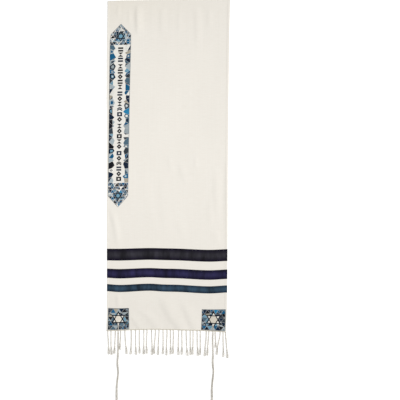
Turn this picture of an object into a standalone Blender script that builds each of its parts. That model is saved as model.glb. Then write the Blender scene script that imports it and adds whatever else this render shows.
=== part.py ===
# Tallit prayer shawl: one long cloth folded crosswise near its middle and laid flat, front up.
# +Z is up, +Y runs to the fold, X runs across the shawl. All sizes are in metres.
import math
from collections import namedtuple

import bmesh
import bpy

# Cut and lay
CUT_LENGTH = 1.970          # hem to hem before it is folded
FRONT_LENGTH = 1.5105       # fold to the hem that shows
FLAP_LENGTH = CUT_LENGTH - FRONT_LENGTH
FOLD_Y = 0.9260             # outer line of the fold; the tassels reach as far the other way

# Thickness and spacing
CLOTH = 0.0014              # wall of the cloth
TRIM = 0.0010               # bands and corner patches
COLLAR = 0.0012             # neckband
SEAM_GAP = 0.0003           # between a piece and what it is sewn on
LAYER_GAP = 0.0004          # between the front and the flap turned under it
FLOOR_GAP = 0.0004          # under fringe and tassels

# Widest spacing of the lines that the cloth is worked out on
THREAD_STEP = 0.022         # between lengthwise lines
FRONT_STEP = 0.034          # between crosswise lines on the front
FLAP_ROW_STEP = 0.120       # and on the flap, which is flat

# The fold is a soft roll that settles onto the flap
ROLL_RADIUS = 0.0036
ROLL_STEPS = 6
ROLL_SETTLES = 0.070        # below the fold
FLAP_STEP = 0.045           # length over which the front comes down past the flap's end
FLAP_INSET_LEFT = 0.0040    # at the flap's end, inside the front's long edge
FLAP_INSET_RIGHT = 0.0035

# Long edges: X at a distance below the fold
Edge = namedtuple("Edge", "below left right")
LONG_EDGES = [
    Edge(0.000, -0.2775, 0.2802),
    Edge(0.217, -0.2813, 0.2758),
    Edge(0.757, -0.2826, 0.2700),
    Edge(1.127, -0.2822, 0.2685),
    Edge(1.417, -0.2822, 0.2655),
    Edge(FRONT_LENGTH, -0.2845, 0.2612),
]

# Crosswise threads don't lie quite straight: how far each sags towards the hem
Sag = namedtuple("Sag", "across fold first_band last_band hem")
SAGS = [
    Sag(-0.280, 0.0053, -0.0009, -0.0036, 0.0000),
    Sag(-0.220, 0.0036, -0.0009, 0.0005, -0.0018),
    Sag(-0.092, 0.0015, -0.0041, -0.0055, -0.0064),
    Sag(-0.025, 0.0007, -0.0030, -0.0017, -0.0056),
    Sag(0.045, 0.0002, -0.0014, 0.0000, -0.0041),
    Sag(0.181, 0.0000, 0.0040, 0.0070, 0.0009),
    Sag(0.265, 0.0000, 0.0010, 0.0025, 0.0059),
]

# Soft ridges in the cloth, each a straight run
Ridge = namedtuple("Ridge", "from_x from_below to_x to_below half_width height")
RIDGES = [
    Ridge(-0.133, 0.020, -0.131, 0.192, 0.020, 0.0034),
    Ridge(-0.050, 0.030, -0.046, 0.147, 0.020, 0.0014),
    Ridge(0.118, 0.040, 0.122, 0.222, 0.020, 0.0026),
    Ridge(0.006, 0.722, 0.049, 0.832, 0.022, 0.0042),
    Ridge(0.156, 0.697, 0.153, 0.787, 0.018, 0.0028),
    Ridge(0.236, 0.752, 0.232, 1.017, 0.018, 0.0028),
    Ridge(0.203, 0.887, 0.196, 1.047, 0.018, 0.0024),
    Ridge(0.120, 0.967, 0.140, 1.087, 0.050, 0.0034),
    Ridge(-0.262, 0.957, -0.234, 1.127, 0.020, 0.0040),
    Ridge(-0.024, 1.382, 0.018, 1.507, 0.022, 0.0028),
    Ridge(0.056, 1.382, 0.088, 1.487, 0.020, 0.0024),
]

# Hems: the long edges are turned over once
HEM_LEFT = 0.0070
HEM_RIGHT = 0.0120
HEM_SLOPE = 0.0030
HEM_RISE = 0.0008

# Three bands sewn across the cloth
Band = namedtuple("Band", "name top height colour")
BANDS = [
    Band("band_charcoal", 1.1356, 0.0538, (0.022, 0.021, 0.030)),
    Band("band_violet", 1.2275, 0.0427, (0.020, 0.019, 0.052)),
    Band("band_teal", 1.2992, 0.0325, (0.026, 0.046, 0.078)),
]

# Neckband along the left edge, pointed at both ends
Collar = namedtuple("Collar", "below left right")
NECKBAND = [
    Collar(0.1070, -0.2183, -0.2163),
    Collar(0.1543, -0.2633, -0.1721),
    Collar(0.1843, -0.2677, -0.1723),
    Collar(0.4685, -0.2718, -0.1788),
    Collar(0.8946, -0.2768, -0.1860),
    Collar(0.9460, -0.2329, -0.2309),
]
NECKBAND_COLUMNS = 4

# Corner patches, each with an eyelet for its tassel
PATCH_TOP = 1.4073
Corner = namedtuple("Corner", "side patch_left patch_right eyelet")
CORNERS = [
    Corner("left", -0.2785, -0.1810, -0.2296),
    Corner("right", 0.1477, 0.2568, 0.2014),
]
EYELET_BELOW = 1.4830
EYELET_RADIUS = 0.0030
EYELET_SIDES = 12
CORD_RIDGE = 0.0026         # the cloth lifts over the cord that passes under it
CORD_RIDGE_HALF = 0.0160

# Hem strip and fringe
STRIP_WIDTH = 0.0047
STRIP_THICK = 0.0018
STRIP_SEAM = 0.0005
ROOT_HALF = 0.0021
Strand = namedtuple("Strand", "root tip drop")
STRANDS = [
    Strand(-0.2768, -0.2720, 0.108), Strand(-0.2624, -0.2612, 0.110),
    Strand(-0.2425, -0.2475, 0.106), Strand(-0.2180, -0.2215, 0.088),
    Strand(-0.1990, -0.1930, 0.108), Strand(-0.1699, -0.1717, 0.112),
    Strand(-0.1503, -0.1484, 0.114), Strand(-0.1329, -0.1338, 0.109),
    Strand(-0.1129, -0.1129, 0.115), Strand(-0.0983, -0.1015, 0.111),
    Strand(-0.0773, -0.0755, 0.117), Strand(-0.0600, -0.0665, 0.112),
    Strand(-0.0435, -0.0490, 0.116), Strand(-0.0253, -0.0253, 0.113),
    Strand(-0.0071, -0.0098, 0.118), Strand(0.0085, 0.0082, 0.114),
    Strand(0.0217, 0.0205, 0.110), Strand(0.0463, 0.0431, 0.116),
    Strand(0.0604, 0.0604, 0.113), Strand(0.0800, 0.0850, 0.118),
    Strand(0.0990, 0.0980, 0.114), Strand(0.1115, 0.1100, 0.111),
    Strand(0.1297, 0.1329, 0.117), Strand(0.1448, 0.1430, 0.112),
    Strand(0.1715, 0.1650, 0.116), Strand(0.1835, 0.1755, 0.113),
    Strand(0.2120, 0.2150, 0.076), Strand(0.2345, 0.2190, 0.105),
    Strand(0.2480, 0.2487, 0.116), Strand(0.2595, 0.2685, 0.120),
]
Girth = namedtuple("Girth", "along radius")
STRAND_GIRTHS = [
    Girth(0.06, 0.0023), Girth(0.17, 0.0024), Girth(0.28, 0.0023), Girth(0.39, 0.0024),
    Girth(0.50, 0.0023), Girth(0.59, 0.0025), Girth(0.64, 0.0037), Girth(0.70, 0.0027),
    Girth(0.84, 0.0034), Girth(0.94, 0.0033), Girth(1.00, 0.0018),
]
STRAND_TWIST = math.radians(330)
STRAND_SWAY = 0.0012

# Tassels: a loop through the eyelet, a wound and knotted head, then eight strings
HEAD_START = 0.005          # below the hem
HEAD_LENGTH = 0.088
KNOTS = (0.06, 0.26, 0.46, 0.70, 0.94)      # along the head
KNOT_LENGTH = 0.008
KNOT_WIDTH, KNOT_DEPTH = 0.0044, 0.0031     # half sizes
WOUND_WIDTH, WOUND_DEPTH = 0.0031, 0.0024
NECK_WIDTH, NECK_DEPTH = 0.0029, 0.0017
END_WIDTH, END_DEPTH = 0.0042, 0.0020
LOOP_HALF_WIDTH = 0.0015
LOOP_HALF_DEPTH = 0.0008
STRING_HALF = 0.0008
STRING_STEPS = 12
STRING_COLUMNS, STRING_LAYERS = 4, 2
Route = namedtuple("Route", "below left right")
TASSEL_ROUTES = [
    Route(1.5105, -0.2296, 0.2014),
    Route(1.5470, -0.2304, 0.2004),
    Route(1.6084, -0.2311, 0.2018),
    Route(1.6678, -0.2336, 0.2010),
    Route(1.7000, -0.2302, 0.2039),
    Route(1.7500, -0.2358, 0.1980),
    Route(1.8273, -0.2378, 0.1968),
    Route(2 * FOLD_Y, -0.2374, 0.1972),
]
STRING_TRIMS = (0.000, 0.009, 0.004, 0.014, 0.011, 0.003, 0.016, 0.006)     # shorter than the longest

CREAM = (0.83, 0.79, 0.71)
NECKBAND_BLUE = (0.29, 0.34, 0.38)
PATCH_BLUE = (0.17, 0.20, 0.23)
FRINGE_CREAM = (0.78, 0.74, 0.66)
TASSEL_WHITE = (0.74, 0.71, 0.65)


def follow(table, column, place):
    """Value of one column at a place, on a smooth curve through the table's rows."""
    stops = [row[0] for row in table]
    values = [getattr(row, column) for row in table]
    place = min(max(place, stops[0]), stops[-1])
    k = max(i for i in range(len(stops) - 1) if stops[i] <= place)

    def slope(i):
        a, b = max(i - 1, 0), min(i + 1, len(stops) - 1)
        return (values[b] - values[a]) / (stops[b] - stops[a])

    span = stops[k + 1] - stops[k]
    t = (place - stops[k]) / span
    rise = values[k + 1] - values[k]
    start, end = slope(k) * span, slope(k + 1) * span
    return values[k] + t * (start + t * (3 * rise - 2 * start - end + t * (start + end - 2 * rise)))


def fade(t):
    """Smooth step from 0 to 1."""
    t = min(max(t, 0.0), 1.0)
    return t * t * (3 - 2 * t)


def fill(marks, step):
    """The marks with even stops between them, none further apart than the step."""
    stops = [marks[0]]
    for start, end in zip(marks, marks[1:]):
        count = math.ceil((end - start) / step - 1e-6)
        stops += [start + (end - start) * k / count for k in range(1, count + 1)]
    return stops


def between(stops, start, end):
    """The stops from start to end, both of which are among them."""
    return [stop for stop in stops if start - 1e-6 <= stop <= end + 1e-6]


# ---- The lay of the cloth -------------------------------------------------

def edges(below):
    return follow(LONG_EDGES, "left", below), follow(LONG_EDGES, "right", below)


def across(share, below):
    """X of a lengthwise thread, given as its share of the width from the left edge."""
    left, right = edges(below)
    return left + share * (right - left)


def share_of(x, below=FRONT_LENGTH):
    left, right = edges(below)
    return (x - left) / (right - left)


def sag(x, below):
    lines = [("fold", 0.0), ("first_band", BANDS[0].top),
             ("last_band", BANDS[-1].top + BANDS[-1].height), ("hem", FRONT_LENGTH)]
    for (upper, start), (lower, end) in zip(lines, lines[1:]):
        if below <= end or lower == "hem":
            t = fade((below - start) / (end - start))
            return (1 - t) * follow(SAGS, upper, x) + t * follow(SAGS, lower, x)


def ridge_height(ridge, x, below):
    run_x, run_y = ridge.to_x - ridge.from_x, ridge.to_below - ridge.from_below
    t = ((x - ridge.from_x) * run_x + (below - ridge.from_below) * run_y) / (run_x ** 2 + run_y ** 2)
    if not 0 < t < 1:
        return 0.0
    off = math.hypot(x - ridge.from_x - t * run_x, below - ridge.from_below - t * run_y)
    ends = fade(t / 0.3) * fade((1 - t) / 0.3)
    return ridge.height * ends * fade(1 - off / ridge.half_width)


def cord_ridge(x, below):
    """The cloth's lift over each tassel's cord, from just above the eyelet to the hem."""
    start = fade((below - EYELET_BELOW + 0.021) / 0.010)
    lift = sum(max(0.0, 1 - abs(x - corner.eyelet) / CORD_RIDGE_HALF) for corner in CORNERS)
    return CORD_RIDGE * start * lift


def underside(x, below):
    """Height of the front's underside above the surface it lies on."""
    on_flap = (CLOTH + LAYER_GAP) * (1 - fade((below - FLAP_LENGTH - 0.004) / FLAP_STEP))
    puff = 2 * ROLL_RADIUS - 2 * CLOTH - LAYER_GAP
    roll = puff * (1 - fade((below - ROLL_RADIUS) / ROLL_SETTLES))
    return on_flap + roll + cord_ridge(x, below) + sum(ridge_height(r, x, below) for r in RIDGES)


def hem_rise(share):
    """Extra height of the outer face over the turned hems at the two long edges."""
    width = LONG_EDGES[-1].right - LONG_EDGES[-1].left
    left = fade((HEM_LEFT - share * width) / HEM_SLOPE)
    right = fade((HEM_RIGHT - (1 - share) * width) / HEM_SLOPE)
    return HEM_RISE * max(left, right)


def front_point(x, below, lift):
    """A point of the front, lifted off its underside; any lift also clears the hems."""
    rise = hem_rise(share_of(x, below)) if lift > 0 else 0.0
    return x, FOLD_Y - below - sag(x, below), underside(x, below) + lift + rise


# Lengthwise and crosswise lines that the cloth and all that lies on it share
CLOTH_END = FRONT_LENGTH - STRIP_WIDTH - STRIP_SEAM


def thread_shares():
    last = LONG_EDGES[-1]
    marks = [last.left, last.left + HEM_LEFT - HEM_SLOPE, last.left + HEM_LEFT,
             last.right - HEM_RIGHT, last.right - HEM_RIGHT + HEM_SLOPE, last.right]
    for corner in CORNERS:
        marks += [corner.patch_left, corner.patch_right]
        marks += [corner.eyelet + k * CORD_RIDGE_HALF for k in (-1, 0, 1)]
    marks = sorted(marks)
    marks = [m for k, m in enumerate(marks) if k == 0 or m - marks[k - 1] > 1e-4]
    return [share_of(x) for x in fill(marks, THREAD_STEP)]


def front_stops():
    marks = [ROLL_RADIUS, 0.018, 0.040, ROLL_SETTLES + ROLL_RADIUS,
             FLAP_LENGTH + 0.004, FLAP_LENGTH + 0.004 + FLAP_STEP]
    for band in BANDS:
        marks += [band.top, band.top + band.height]
    marks += [PATCH_TOP, EYELET_BELOW - 0.021, EYELET_BELOW - 0.011, CLOTH_END]
    return fill(marks, FRONT_STEP)


SHARES = thread_shares()
STOPS = front_stops()


# ---- Making solids --------------------------------------------------------

def material(name, colour, roughness):
    finish = bpy.data.materials.new(name)
    finish.use_nodes = True
    shader = finish.node_tree.nodes["Principled BSDF"]
    shader.inputs["Base Color"].default_value = (*colour, 1)
    shader.inputs["Roughness"].default_value = roughness
    shader.inputs["Metallic"].default_value = 0
    return finish


def place(name, mesh, finish):
    """Turn a bmesh into a named object with its own material."""
    bmesh.ops.recalc_face_normals(mesh, faces=mesh.faces)
    data = bpy.data.meshes.new(name)
    mesh.to_mesh(data)
    mesh.free()
    data.shade_smooth()
    data.set_sharp_from_angle(angle=math.radians(50))
    data.materials.append(finish)
    piece = bpy.data.objects.new(name, data)
    bpy.context.scene.collection.objects.link(piece)
    return piece


def join(mesh, ring, other):
    """Quads between two rings of as many points."""
    for k in range(len(ring)):
        n = (k + 1) % len(ring)
        mesh.faces.new((ring[k], ring[n], other[n], other[k]))


def sprout(mesh, socket, rings, lands_on=None):
    """Carry a ring of vertices through rings of points, to a closed end or onto another ring."""
    ring = socket
    for points in rings:
        grown = [mesh.verts.new(point) for point in points]
        join(mesh, ring, grown)
        ring = grown
    if lands_on:
        join(mesh, ring, lands_on)
    else:
        mesh.faces.new(ring)


def wall(name, faces, finish):
    """A closed wall between two grids of points, every cell split the same way."""
    mesh = bmesh.new()
    grids = [[[mesh.verts.new(point) for point in row] for row in grid] for grid in faces]
    rows, columns = len(grids[0]), len(grids[0][0])
    for grid in grids:
        for i in range(rows - 1):
            for j in range(columns - 1):
                a, b = grid[i][j], grid[i][j + 1]
                c, d = grid[i + 1][j + 1], grid[i + 1][j]
                mesh.faces.new((a, b, c))
                mesh.faces.new((a, c, d))
    rims = []
    for grid in grids:
        right = [row[-1] for row in grid[1:]]
        left = [row[0] for row in grid[-2:0:-1]]
        rims.append(grid[0] + right + grid[-1][-2::-1] + left)
    join(mesh, rims[0], rims[1])
    return place(name, mesh, finish)


def panel(name, shares, stops, lift, thick, colour, roughness):
    """A piece that lies on the front, made from the front's own points moved out."""
    grids = [[[front_point(across(share, below), below, height) for share in shares]
              for below in stops] for height in (lift, lift + thick)]
    return wall(name, grids, material(name, colour, roughness))


# ---- The pieces -----------------------------------------------------------

def flap_point(share, below, height):
    """A point of the flap, which lies flat under the front."""
    t = below / FLAP_LENGTH
    left, right = edges(below)
    left += t * FLAP_INSET_LEFT
    right -= t * FLAP_INSET_RIGHT
    x = left + share * (right - left)
    return x, FOLD_Y - below - (1 - t) * sag(x, 0), height


def roll_point(share, angle, radius):
    x = across(share, ROLL_RADIUS)
    y = FOLD_Y - ROLL_RADIUS - sag(x, 0) + radius * math.cos(angle)
    return x, y, ROLL_RADIUS + radius * math.sin(angle)


def shawl_cloth():
    """One continuous wall: flap under, roll at the fold, then the front down to its hem."""
    outer, inner = [], []
    for below in reversed(fill([ROLL_RADIUS, FLAP_LENGTH], FLAP_ROW_STEP)):
        outer.append([flap_point(share, below, 0.0) for share in SHARES])
        inner.append([flap_point(share, below, CLOTH) for share in SHARES])
    for k in range(1, ROLL_STEPS):
        angle = math.pi * (k / ROLL_STEPS - 0.5)
        outer.append([roll_point(share, angle, ROLL_RADIUS) for share in SHARES])
        inner.append([roll_point(share, angle, ROLL_RADIUS - CLOTH) for share in SHARES])
    for below in STOPS:
        outer.append([front_point(across(share, below), below, CLOTH) for share in SHARES])
        inner.append([front_point(across(share, below), below, 0.0) for share in SHARES])
    return wall("shawl_cloth", (outer, inner), material("shawl_cloth", CREAM, 0.75))


def bands():
    for band in BANDS:
        stops = between(STOPS, band.top, band.top + band.height)
        panel(band.name, SHARES, stops, CLOTH + SEAM_GAP, TRIM, band.colour, 0.45)


def neckband():
    """The embroidered collar: straight sides between two points."""
    ends = [row.below for row in NECKBAND]
    inside = [stop for stop in STOPS if ends[1] + 0.01 < stop < ends[-2] - 0.01]
    rows = [ends[0], ends[1], *inside, ends[-2], ends[-1]]

    def edge(column, below):
        k = max(i for i in range(len(ends) - 1) if ends[i] <= below)
        t = (below - ends[k]) / (ends[k + 1] - ends[k])
        return (1 - t) * getattr(NECKBAND[k], column) + t * getattr(NECKBAND[k + 1], column)

    grids = []
    for height in (CLOTH + SEAM_GAP, CLOTH + SEAM_GAP + COLLAR):
        grid = []
        for below in rows:
            left, right = edge("left", below), edge("right", below)
            xs = [left + (right - left) * k / NECKBAND_COLUMNS for k in range(NECKBAND_COLUMNS + 1)]
            grid.append([front_point(x, below, height) for x in xs])
        grids.append(grid)
    return wall("neckband", grids, material("neckband", NECKBAND_BLUE, 0.5))


def corner_patch(corner):
    shares = between(SHARES, share_of(corner.patch_left), share_of(corner.patch_right))
    stops = between(STOPS, PATCH_TOP, CLOTH_END)
    name = "corner_patch_" + corner.side
    return panel(name, shares, stops, CLOTH + SEAM_GAP, TRIM, PATCH_BLUE, 0.5)


def cut_eyelet(corner, pieces):
    """A round hole through the patch and the cloth under it."""
    x = corner.eyelet
    mesh = bmesh.new()
    bmesh.ops.create_cone(mesh, cap_ends=True, segments=EYELET_SIDES, radius1=EYELET_RADIUS,
                          radius2=EYELET_RADIUS, depth=0.030)
    data = bpy.data.meshes.new("eyelet_cutter_" + corner.side)
    mesh.to_mesh(data)
    mesh.free()
    cutter = bpy.data.objects.new(data.name, data)
    bpy.context.scene.collection.objects.link(cutter)
    cutter.location = (x, front_point(x, EYELET_BELOW, 0)[1], 0)
    cutter.display_type = "WIRE"
    cutter.hide_render = True
    for piece in pieces:
        cut = piece.modifiers.new("eyelet_" + corner.side, "BOOLEAN")
        cut.operation = "DIFFERENCE"
        cut.solver = "EXACT"
        cut.object = cutter


def strand_rings(strand, number):
    """Square rings that turn as they go, so the strand reads as a twisted cord."""
    top = front_point(strand.root, FRONT_LENGTH, 0)[1]
    rings = []
    for along, radius in STRAND_GIRTHS:
        sway = STRAND_SWAY * math.sin(2.4 * number + 5 * along) * along
        x = strand.root + (strand.tip - strand.root) * fade(along) + sway
        y = top - strand.drop * along
        z = FLOOR_GAP + radius
        turn = STRAND_TWIST * along
        angles = [math.radians(225 + 90 * k) + turn for k in range(4)]
        rings.append([(x + radius * math.cos(a), y, z + radius * math.sin(a)) for a in angles])
    return rings


def hem_fringe():
    """The rolled hem strip, parted from the cloth's edge, with the fringe growing out of it."""
    mesh = bmesh.new()
    roots = {}
    stations = [LONG_EDGES[-1].left, LONG_EDGES[-1].right]
    for number, strand in enumerate(STRANDS):
        roots[round(strand.root - ROOT_HALF, 5)] = number
        stations += [strand.root - ROOT_HALF, strand.root + ROOT_HALF]
    for corner in CORNERS:
        stations += [corner.eyelet, corner.eyelet - 0.006, corner.eyelet + 0.006]
    sections = []
    for x in sorted(stations):
        _, y, z = front_point(x, FRONT_LENGTH, 0)
        z += 0.0003
        inner = y + STRIP_WIDTH
        corners = [(x, y, z), (x, y, z + STRIP_THICK), (x, inner, z + STRIP_THICK), (x, inner, z)]
        sections.append((x, [mesh.verts.new(point) for point in corners]))
    for (x, ring), (_, following) in zip(sections, sections[1:]):
        number = roots.get(round(x, 5))
        for k in range(4):
            n = (k + 1) % 4
            if k == 0 and number is not None:
                socket = [ring[0], following[0], following[1], ring[1]]
                sprout(mesh, socket, strand_rings(STRANDS[number], number))
            else:
                mesh.faces.new((ring[k], ring[n], following[n], following[k]))
    mesh.faces.new(sections[0][1])
    mesh.faces.new(sections[-1][1])
    return place("hem_fringe", mesh, material("hem_fringe", FRINGE_CREAM, 0.8))


def outline(half_width, half_depth, roundness):
    """Twelve points round a section: five along its floor side, then round over its top."""
    flat = [(k / 2 - 1, -1) for k in range(5)] + [(1, 0)]
    flat += [(1 - k / 2, 1) for k in range(5)] + [(-1, 0)]
    points = []
    for a, b in flat:
        scale = 1 + roundness * (1 / math.hypot(a, b) - 1)
        points.append((a * scale * half_width, b * scale * half_depth))
    return points


def cells(mesh, ring):
    """Split a twelve point end into four by two cells, each as its four corners."""
    floor, right, top, left = ring[0:5], ring[5], ring[6:11][::-1], ring[11]
    middle = [left]
    for k in (1, 2, 3):
        middle.append(mesh.verts.new((floor[k].co + top[k].co) / 2))
    middle.append(right)
    lower = [[floor[k], floor[k + 1], middle[k + 1], middle[k]] for k in range(4)]
    upper = [[middle[k], middle[k + 1], top[k + 1], top[k]] for k in range(4)]
    return lower, upper, floor, middle, top


def loop_rings(x, hem_y, eyelet_y):
    """The cord's way from the head over the patch, down the eyelet and back under the cloth."""
    over = CORD_RIDGE + CLOTH + SEAM_GAP + TRIM + 0.00035 + LOOP_HALF_DEPTH
    under = FLOOR_GAP + LOOP_HALF_DEPTH
    slant = math.sqrt(0.5)
    way = [
        (hem_y - 0.0020, over - 0.0014, -slant, slant),
        (hem_y + 0.0010, over, 0, 1),
        (eyelet_y - 0.0040, over, 0, 1),
        (eyelet_y - 0.0009, over - 0.0004, slant, slant),
        (eyelet_y + 0.0003, over - 0.0018, 1, 0),
        (eyelet_y + 0.0003, under + 0.0018, 1, 0),
        (eyelet_y - 0.0009, under + 0.0004, slant, -slant),
        (eyelet_y - 0.0040, under, 0, -1),
        (hem_y - 0.0010, under, 0, -1),
    ]
    sides = (-LOOP_HALF_WIDTH, 0, LOOP_HALF_WIDTH)
    rings = []
    for y, z, out_y, out_z in way:
        dy, dz = out_y * LOOP_HALF_DEPTH, out_z * LOOP_HALF_DEPTH
        ring = [(x + side, y - dy, z - dz) for side in sides]
        ring += [(x + side, y + dy, z + dz) for side in reversed(sides)]
        rings.append(ring)
    return rings


def inset(mesh, corners, share):
    """A smaller ring inside a cell, joined to the cell's corners."""
    centre = sum((corner.co for corner in corners), corners[0].co * 0) / len(corners)
    ring = [mesh.verts.new(corner.co.lerp(centre, share)) for corner in corners]
    join(mesh, corners, ring)
    return ring


def head_sections():
    """Sizes along the wound head: a neck, five knots with windings between, a square end."""
    half = KNOT_LENGTH / HEAD_LENGTH / 2
    sections = [(0.0, NECK_WIDTH, NECK_DEPTH, 0.0)]
    for knot in KNOTS:
        if knot - half > 0.03:
            sections.append((knot - half, WOUND_WIDTH, WOUND_DEPTH, 1.0))
        sections.append((knot - half / 2, KNOT_WIDTH, KNOT_DEPTH, 1.0))
        sections.append((knot + half / 2, KNOT_WIDTH, KNOT_DEPTH, 1.0))
        if knot + half < 0.97:
            sections.append((knot + half, WOUND_WIDTH, WOUND_DEPTH, 1.0))
    sections.append((1.0, END_WIDTH, END_DEPTH, 0.0))
    return sections


def string_rings(side, column, layer, start):
    """Rings of one string, from the head's end to its own tip."""
    number = layer * STRING_COLUMNS + column
    end = TASSEL_ROUTES[-1].below - STRING_TRIMS[number]
    slot = column - (STRING_COLUMNS - 1) / 2
    pitch = END_WIDTH * 2 / STRING_COLUMNS
    root_z = FLOOR_GAP + KNOT_DEPTH + (layer - 0.5) * END_DEPTH
    lying_z = FLOOR_GAP + STRING_HALF + layer * (2 * STRING_HALF + SEAM_GAP)
    rings = []
    for k in range(STRING_STEPS + 1):
        t = k / STRING_STEPS
        below = start + (end - start) * t
        spread = pitch * (1 + 0.16 * math.sin(9 * t) * t + 0.25 * t ** 4)
        x = follow(TASSEL_ROUTES, side, below) + slot * spread + (layer - 0.5) * 0.0007 * fade(3 * t)
        z = root_z + (lying_z - root_z) * fade(t / 0.12)
        h = STRING_HALF
        rings.append([(x - h, FOLD_Y - below, z - h), (x + h, FOLD_Y - below, z - h),
                      (x + h, FOLD_Y - below, z + h), (x - h, FOLD_Y - below, z + h)])
    return rings


def tassel(corner):
    """Loop, wound head and strings as one body."""
    mesh = bmesh.new()
    hem_y = front_point(corner.eyelet, FRONT_LENGTH, 0)[1]
    eyelet_y = front_point(corner.eyelet, EYELET_BELOW, 0)[1]
    head_y = hem_y - HEAD_START
    rings = []
    for along, width, depth, roundness in head_sections():
        y = head_y - along * HEAD_LENGTH
        x = follow(TASSEL_ROUTES, corner.side, FOLD_Y - y)
        z = FLOOR_GAP + KNOT_DEPTH
        ring = [(x + a, y, z + b) for a, b in outline(width, depth, roundness)]
        rings.append([mesh.verts.new(point) for point in ring])
    for ring, following in zip(rings, rings[1:]):
        join(mesh, ring, following)

    # The loop leaves the top middle of the head and comes back to the bottom middle
    lower, upper, floor, middle, top = cells(mesh, rings[0])
    for cell in (lower[0], lower[3], upper[0], upper[3]):
        mesh.faces.new(cell)
    leaves = inset(mesh, middle[1:4] + top[3:0:-1], 0.12)
    returns = inset(mesh, middle[1:4] + floor[3:0:-1], 0.12)
    sprout(mesh, leaves, loop_rings(corner.eyelet, hem_y, eyelet_y), lands_on=returns)

    # One string from each cell of the other end
    lower, upper, *_ = cells(mesh, rings[-1])
    start = FOLD_Y - (head_y - HEAD_LENGTH) + 0.003
    for layer, row in enumerate((lower, upper)):
        for column, cell in enumerate(row):
            socket = inset(mesh, cell, 0.2)
            sprout(mesh, socket, string_rings(corner.side, column, layer, start))
    name = "tassel_" + corner.side
    return place(name, mesh, material(name, TASSEL_WHITE, 0.8))


def main():
    for leftover in list(bpy.data.objects):
        bpy.data.objects.remove(leftover)
    cloth = shawl_cloth()
    bands()
    neckband()
    for corner in CORNERS:
        cut_eyelet(corner, [cloth, corner_patch(corner)])
        tassel(corner)
    hem_fringe()


main()
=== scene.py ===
import random
from functools import lru_cache
from math import atan, atan2, ceil, cos, degrees, hypot, pi, radians, sin, sqrt

import bmesh
import bpy
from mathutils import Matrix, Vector, noise


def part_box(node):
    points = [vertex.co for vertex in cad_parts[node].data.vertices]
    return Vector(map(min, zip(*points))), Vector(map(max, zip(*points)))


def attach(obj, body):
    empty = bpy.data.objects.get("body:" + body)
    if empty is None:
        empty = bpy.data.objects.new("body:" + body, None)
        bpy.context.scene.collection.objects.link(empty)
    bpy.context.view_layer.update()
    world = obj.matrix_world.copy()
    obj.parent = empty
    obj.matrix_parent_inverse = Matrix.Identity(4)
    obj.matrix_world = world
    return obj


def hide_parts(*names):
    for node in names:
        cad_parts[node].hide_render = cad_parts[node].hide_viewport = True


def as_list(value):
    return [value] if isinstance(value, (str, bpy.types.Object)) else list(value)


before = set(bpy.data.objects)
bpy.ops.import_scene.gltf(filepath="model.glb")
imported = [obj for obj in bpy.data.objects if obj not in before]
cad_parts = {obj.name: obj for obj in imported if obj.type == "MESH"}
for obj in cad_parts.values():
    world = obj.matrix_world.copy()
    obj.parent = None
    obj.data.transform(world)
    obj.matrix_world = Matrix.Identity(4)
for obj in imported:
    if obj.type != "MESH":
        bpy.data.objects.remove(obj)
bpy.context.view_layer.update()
print("frame loaded:", len(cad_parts), "solids")

# Everything is in metres. X runs across the shawl and Y to the fold; "below" is a distance
# from the fold down the front, and "lift" a height above the underside of the front.
lay = {
    "foldY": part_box("shawl_cloth")[1].y,
    "frontLength": 1.5105, "flapLength": 0.4595,
    "wall": 0.0014,           # cloth with its turned hems
    "layerGap": 0.0004,       # front to flap
    "rollRadius": 0.0036, "rollSettles": 0.070,
    "flapStep": 0.045, "flapStepAfter": 0.004, "flapInset": (0.0040, 0.0035),
    "hemWidth": (0.0070, 0.0120), "hemSlope": 0.0030, "hemRise": 0.0006,
    "hemRoll": 0.0052,        # kept free for the rolled hem
    "calmTop": (0.010, 0.040), "calmEnd": (1.330, 0.060),     # where wrinkles start and end, and over how far
    "calmShare": 0.85, "wavesEnd": 0.26,
    "edgeCurl": 0.0016, "curlFrom": 0.697, "curlTo": 1.107,   # the right edge lifts on this stretch
    "curlIn": 0.024, "curlSlope": 0.022,
}

# below, left edge, right edge
longEdges = [
    (0.000, -0.2775, 0.2802), (0.217, -0.2813, 0.2758), (0.757, -0.2826, 0.2700),
    (1.127, -0.2822, 0.2685), (1.417, -0.2822, 0.2655), (1.5105, -0.2845, 0.2612),
]
# x, then how far the crosswise threads sag at the fold, first band, last band and hem
sags = [
    (-0.280, 0.0053, -0.0009, -0.0036, 0.0000), (-0.220, 0.0036, -0.0009, 0.0005, -0.0018),
    (-0.092, 0.0015, -0.0041, -0.0055, -0.0064), (-0.025, 0.0007, -0.0030, -0.0017, -0.0056),
    (0.045, 0.0002, -0.0014, 0.0000, -0.0041), (0.181, 0.0000, 0.0040, 0.0070, 0.0009),
    (0.265, 0.0000, 0.0010, 0.0025, 0.0059),
]
sagLines = (0.0, 1.1356, 1.3317, 1.5105)
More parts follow.
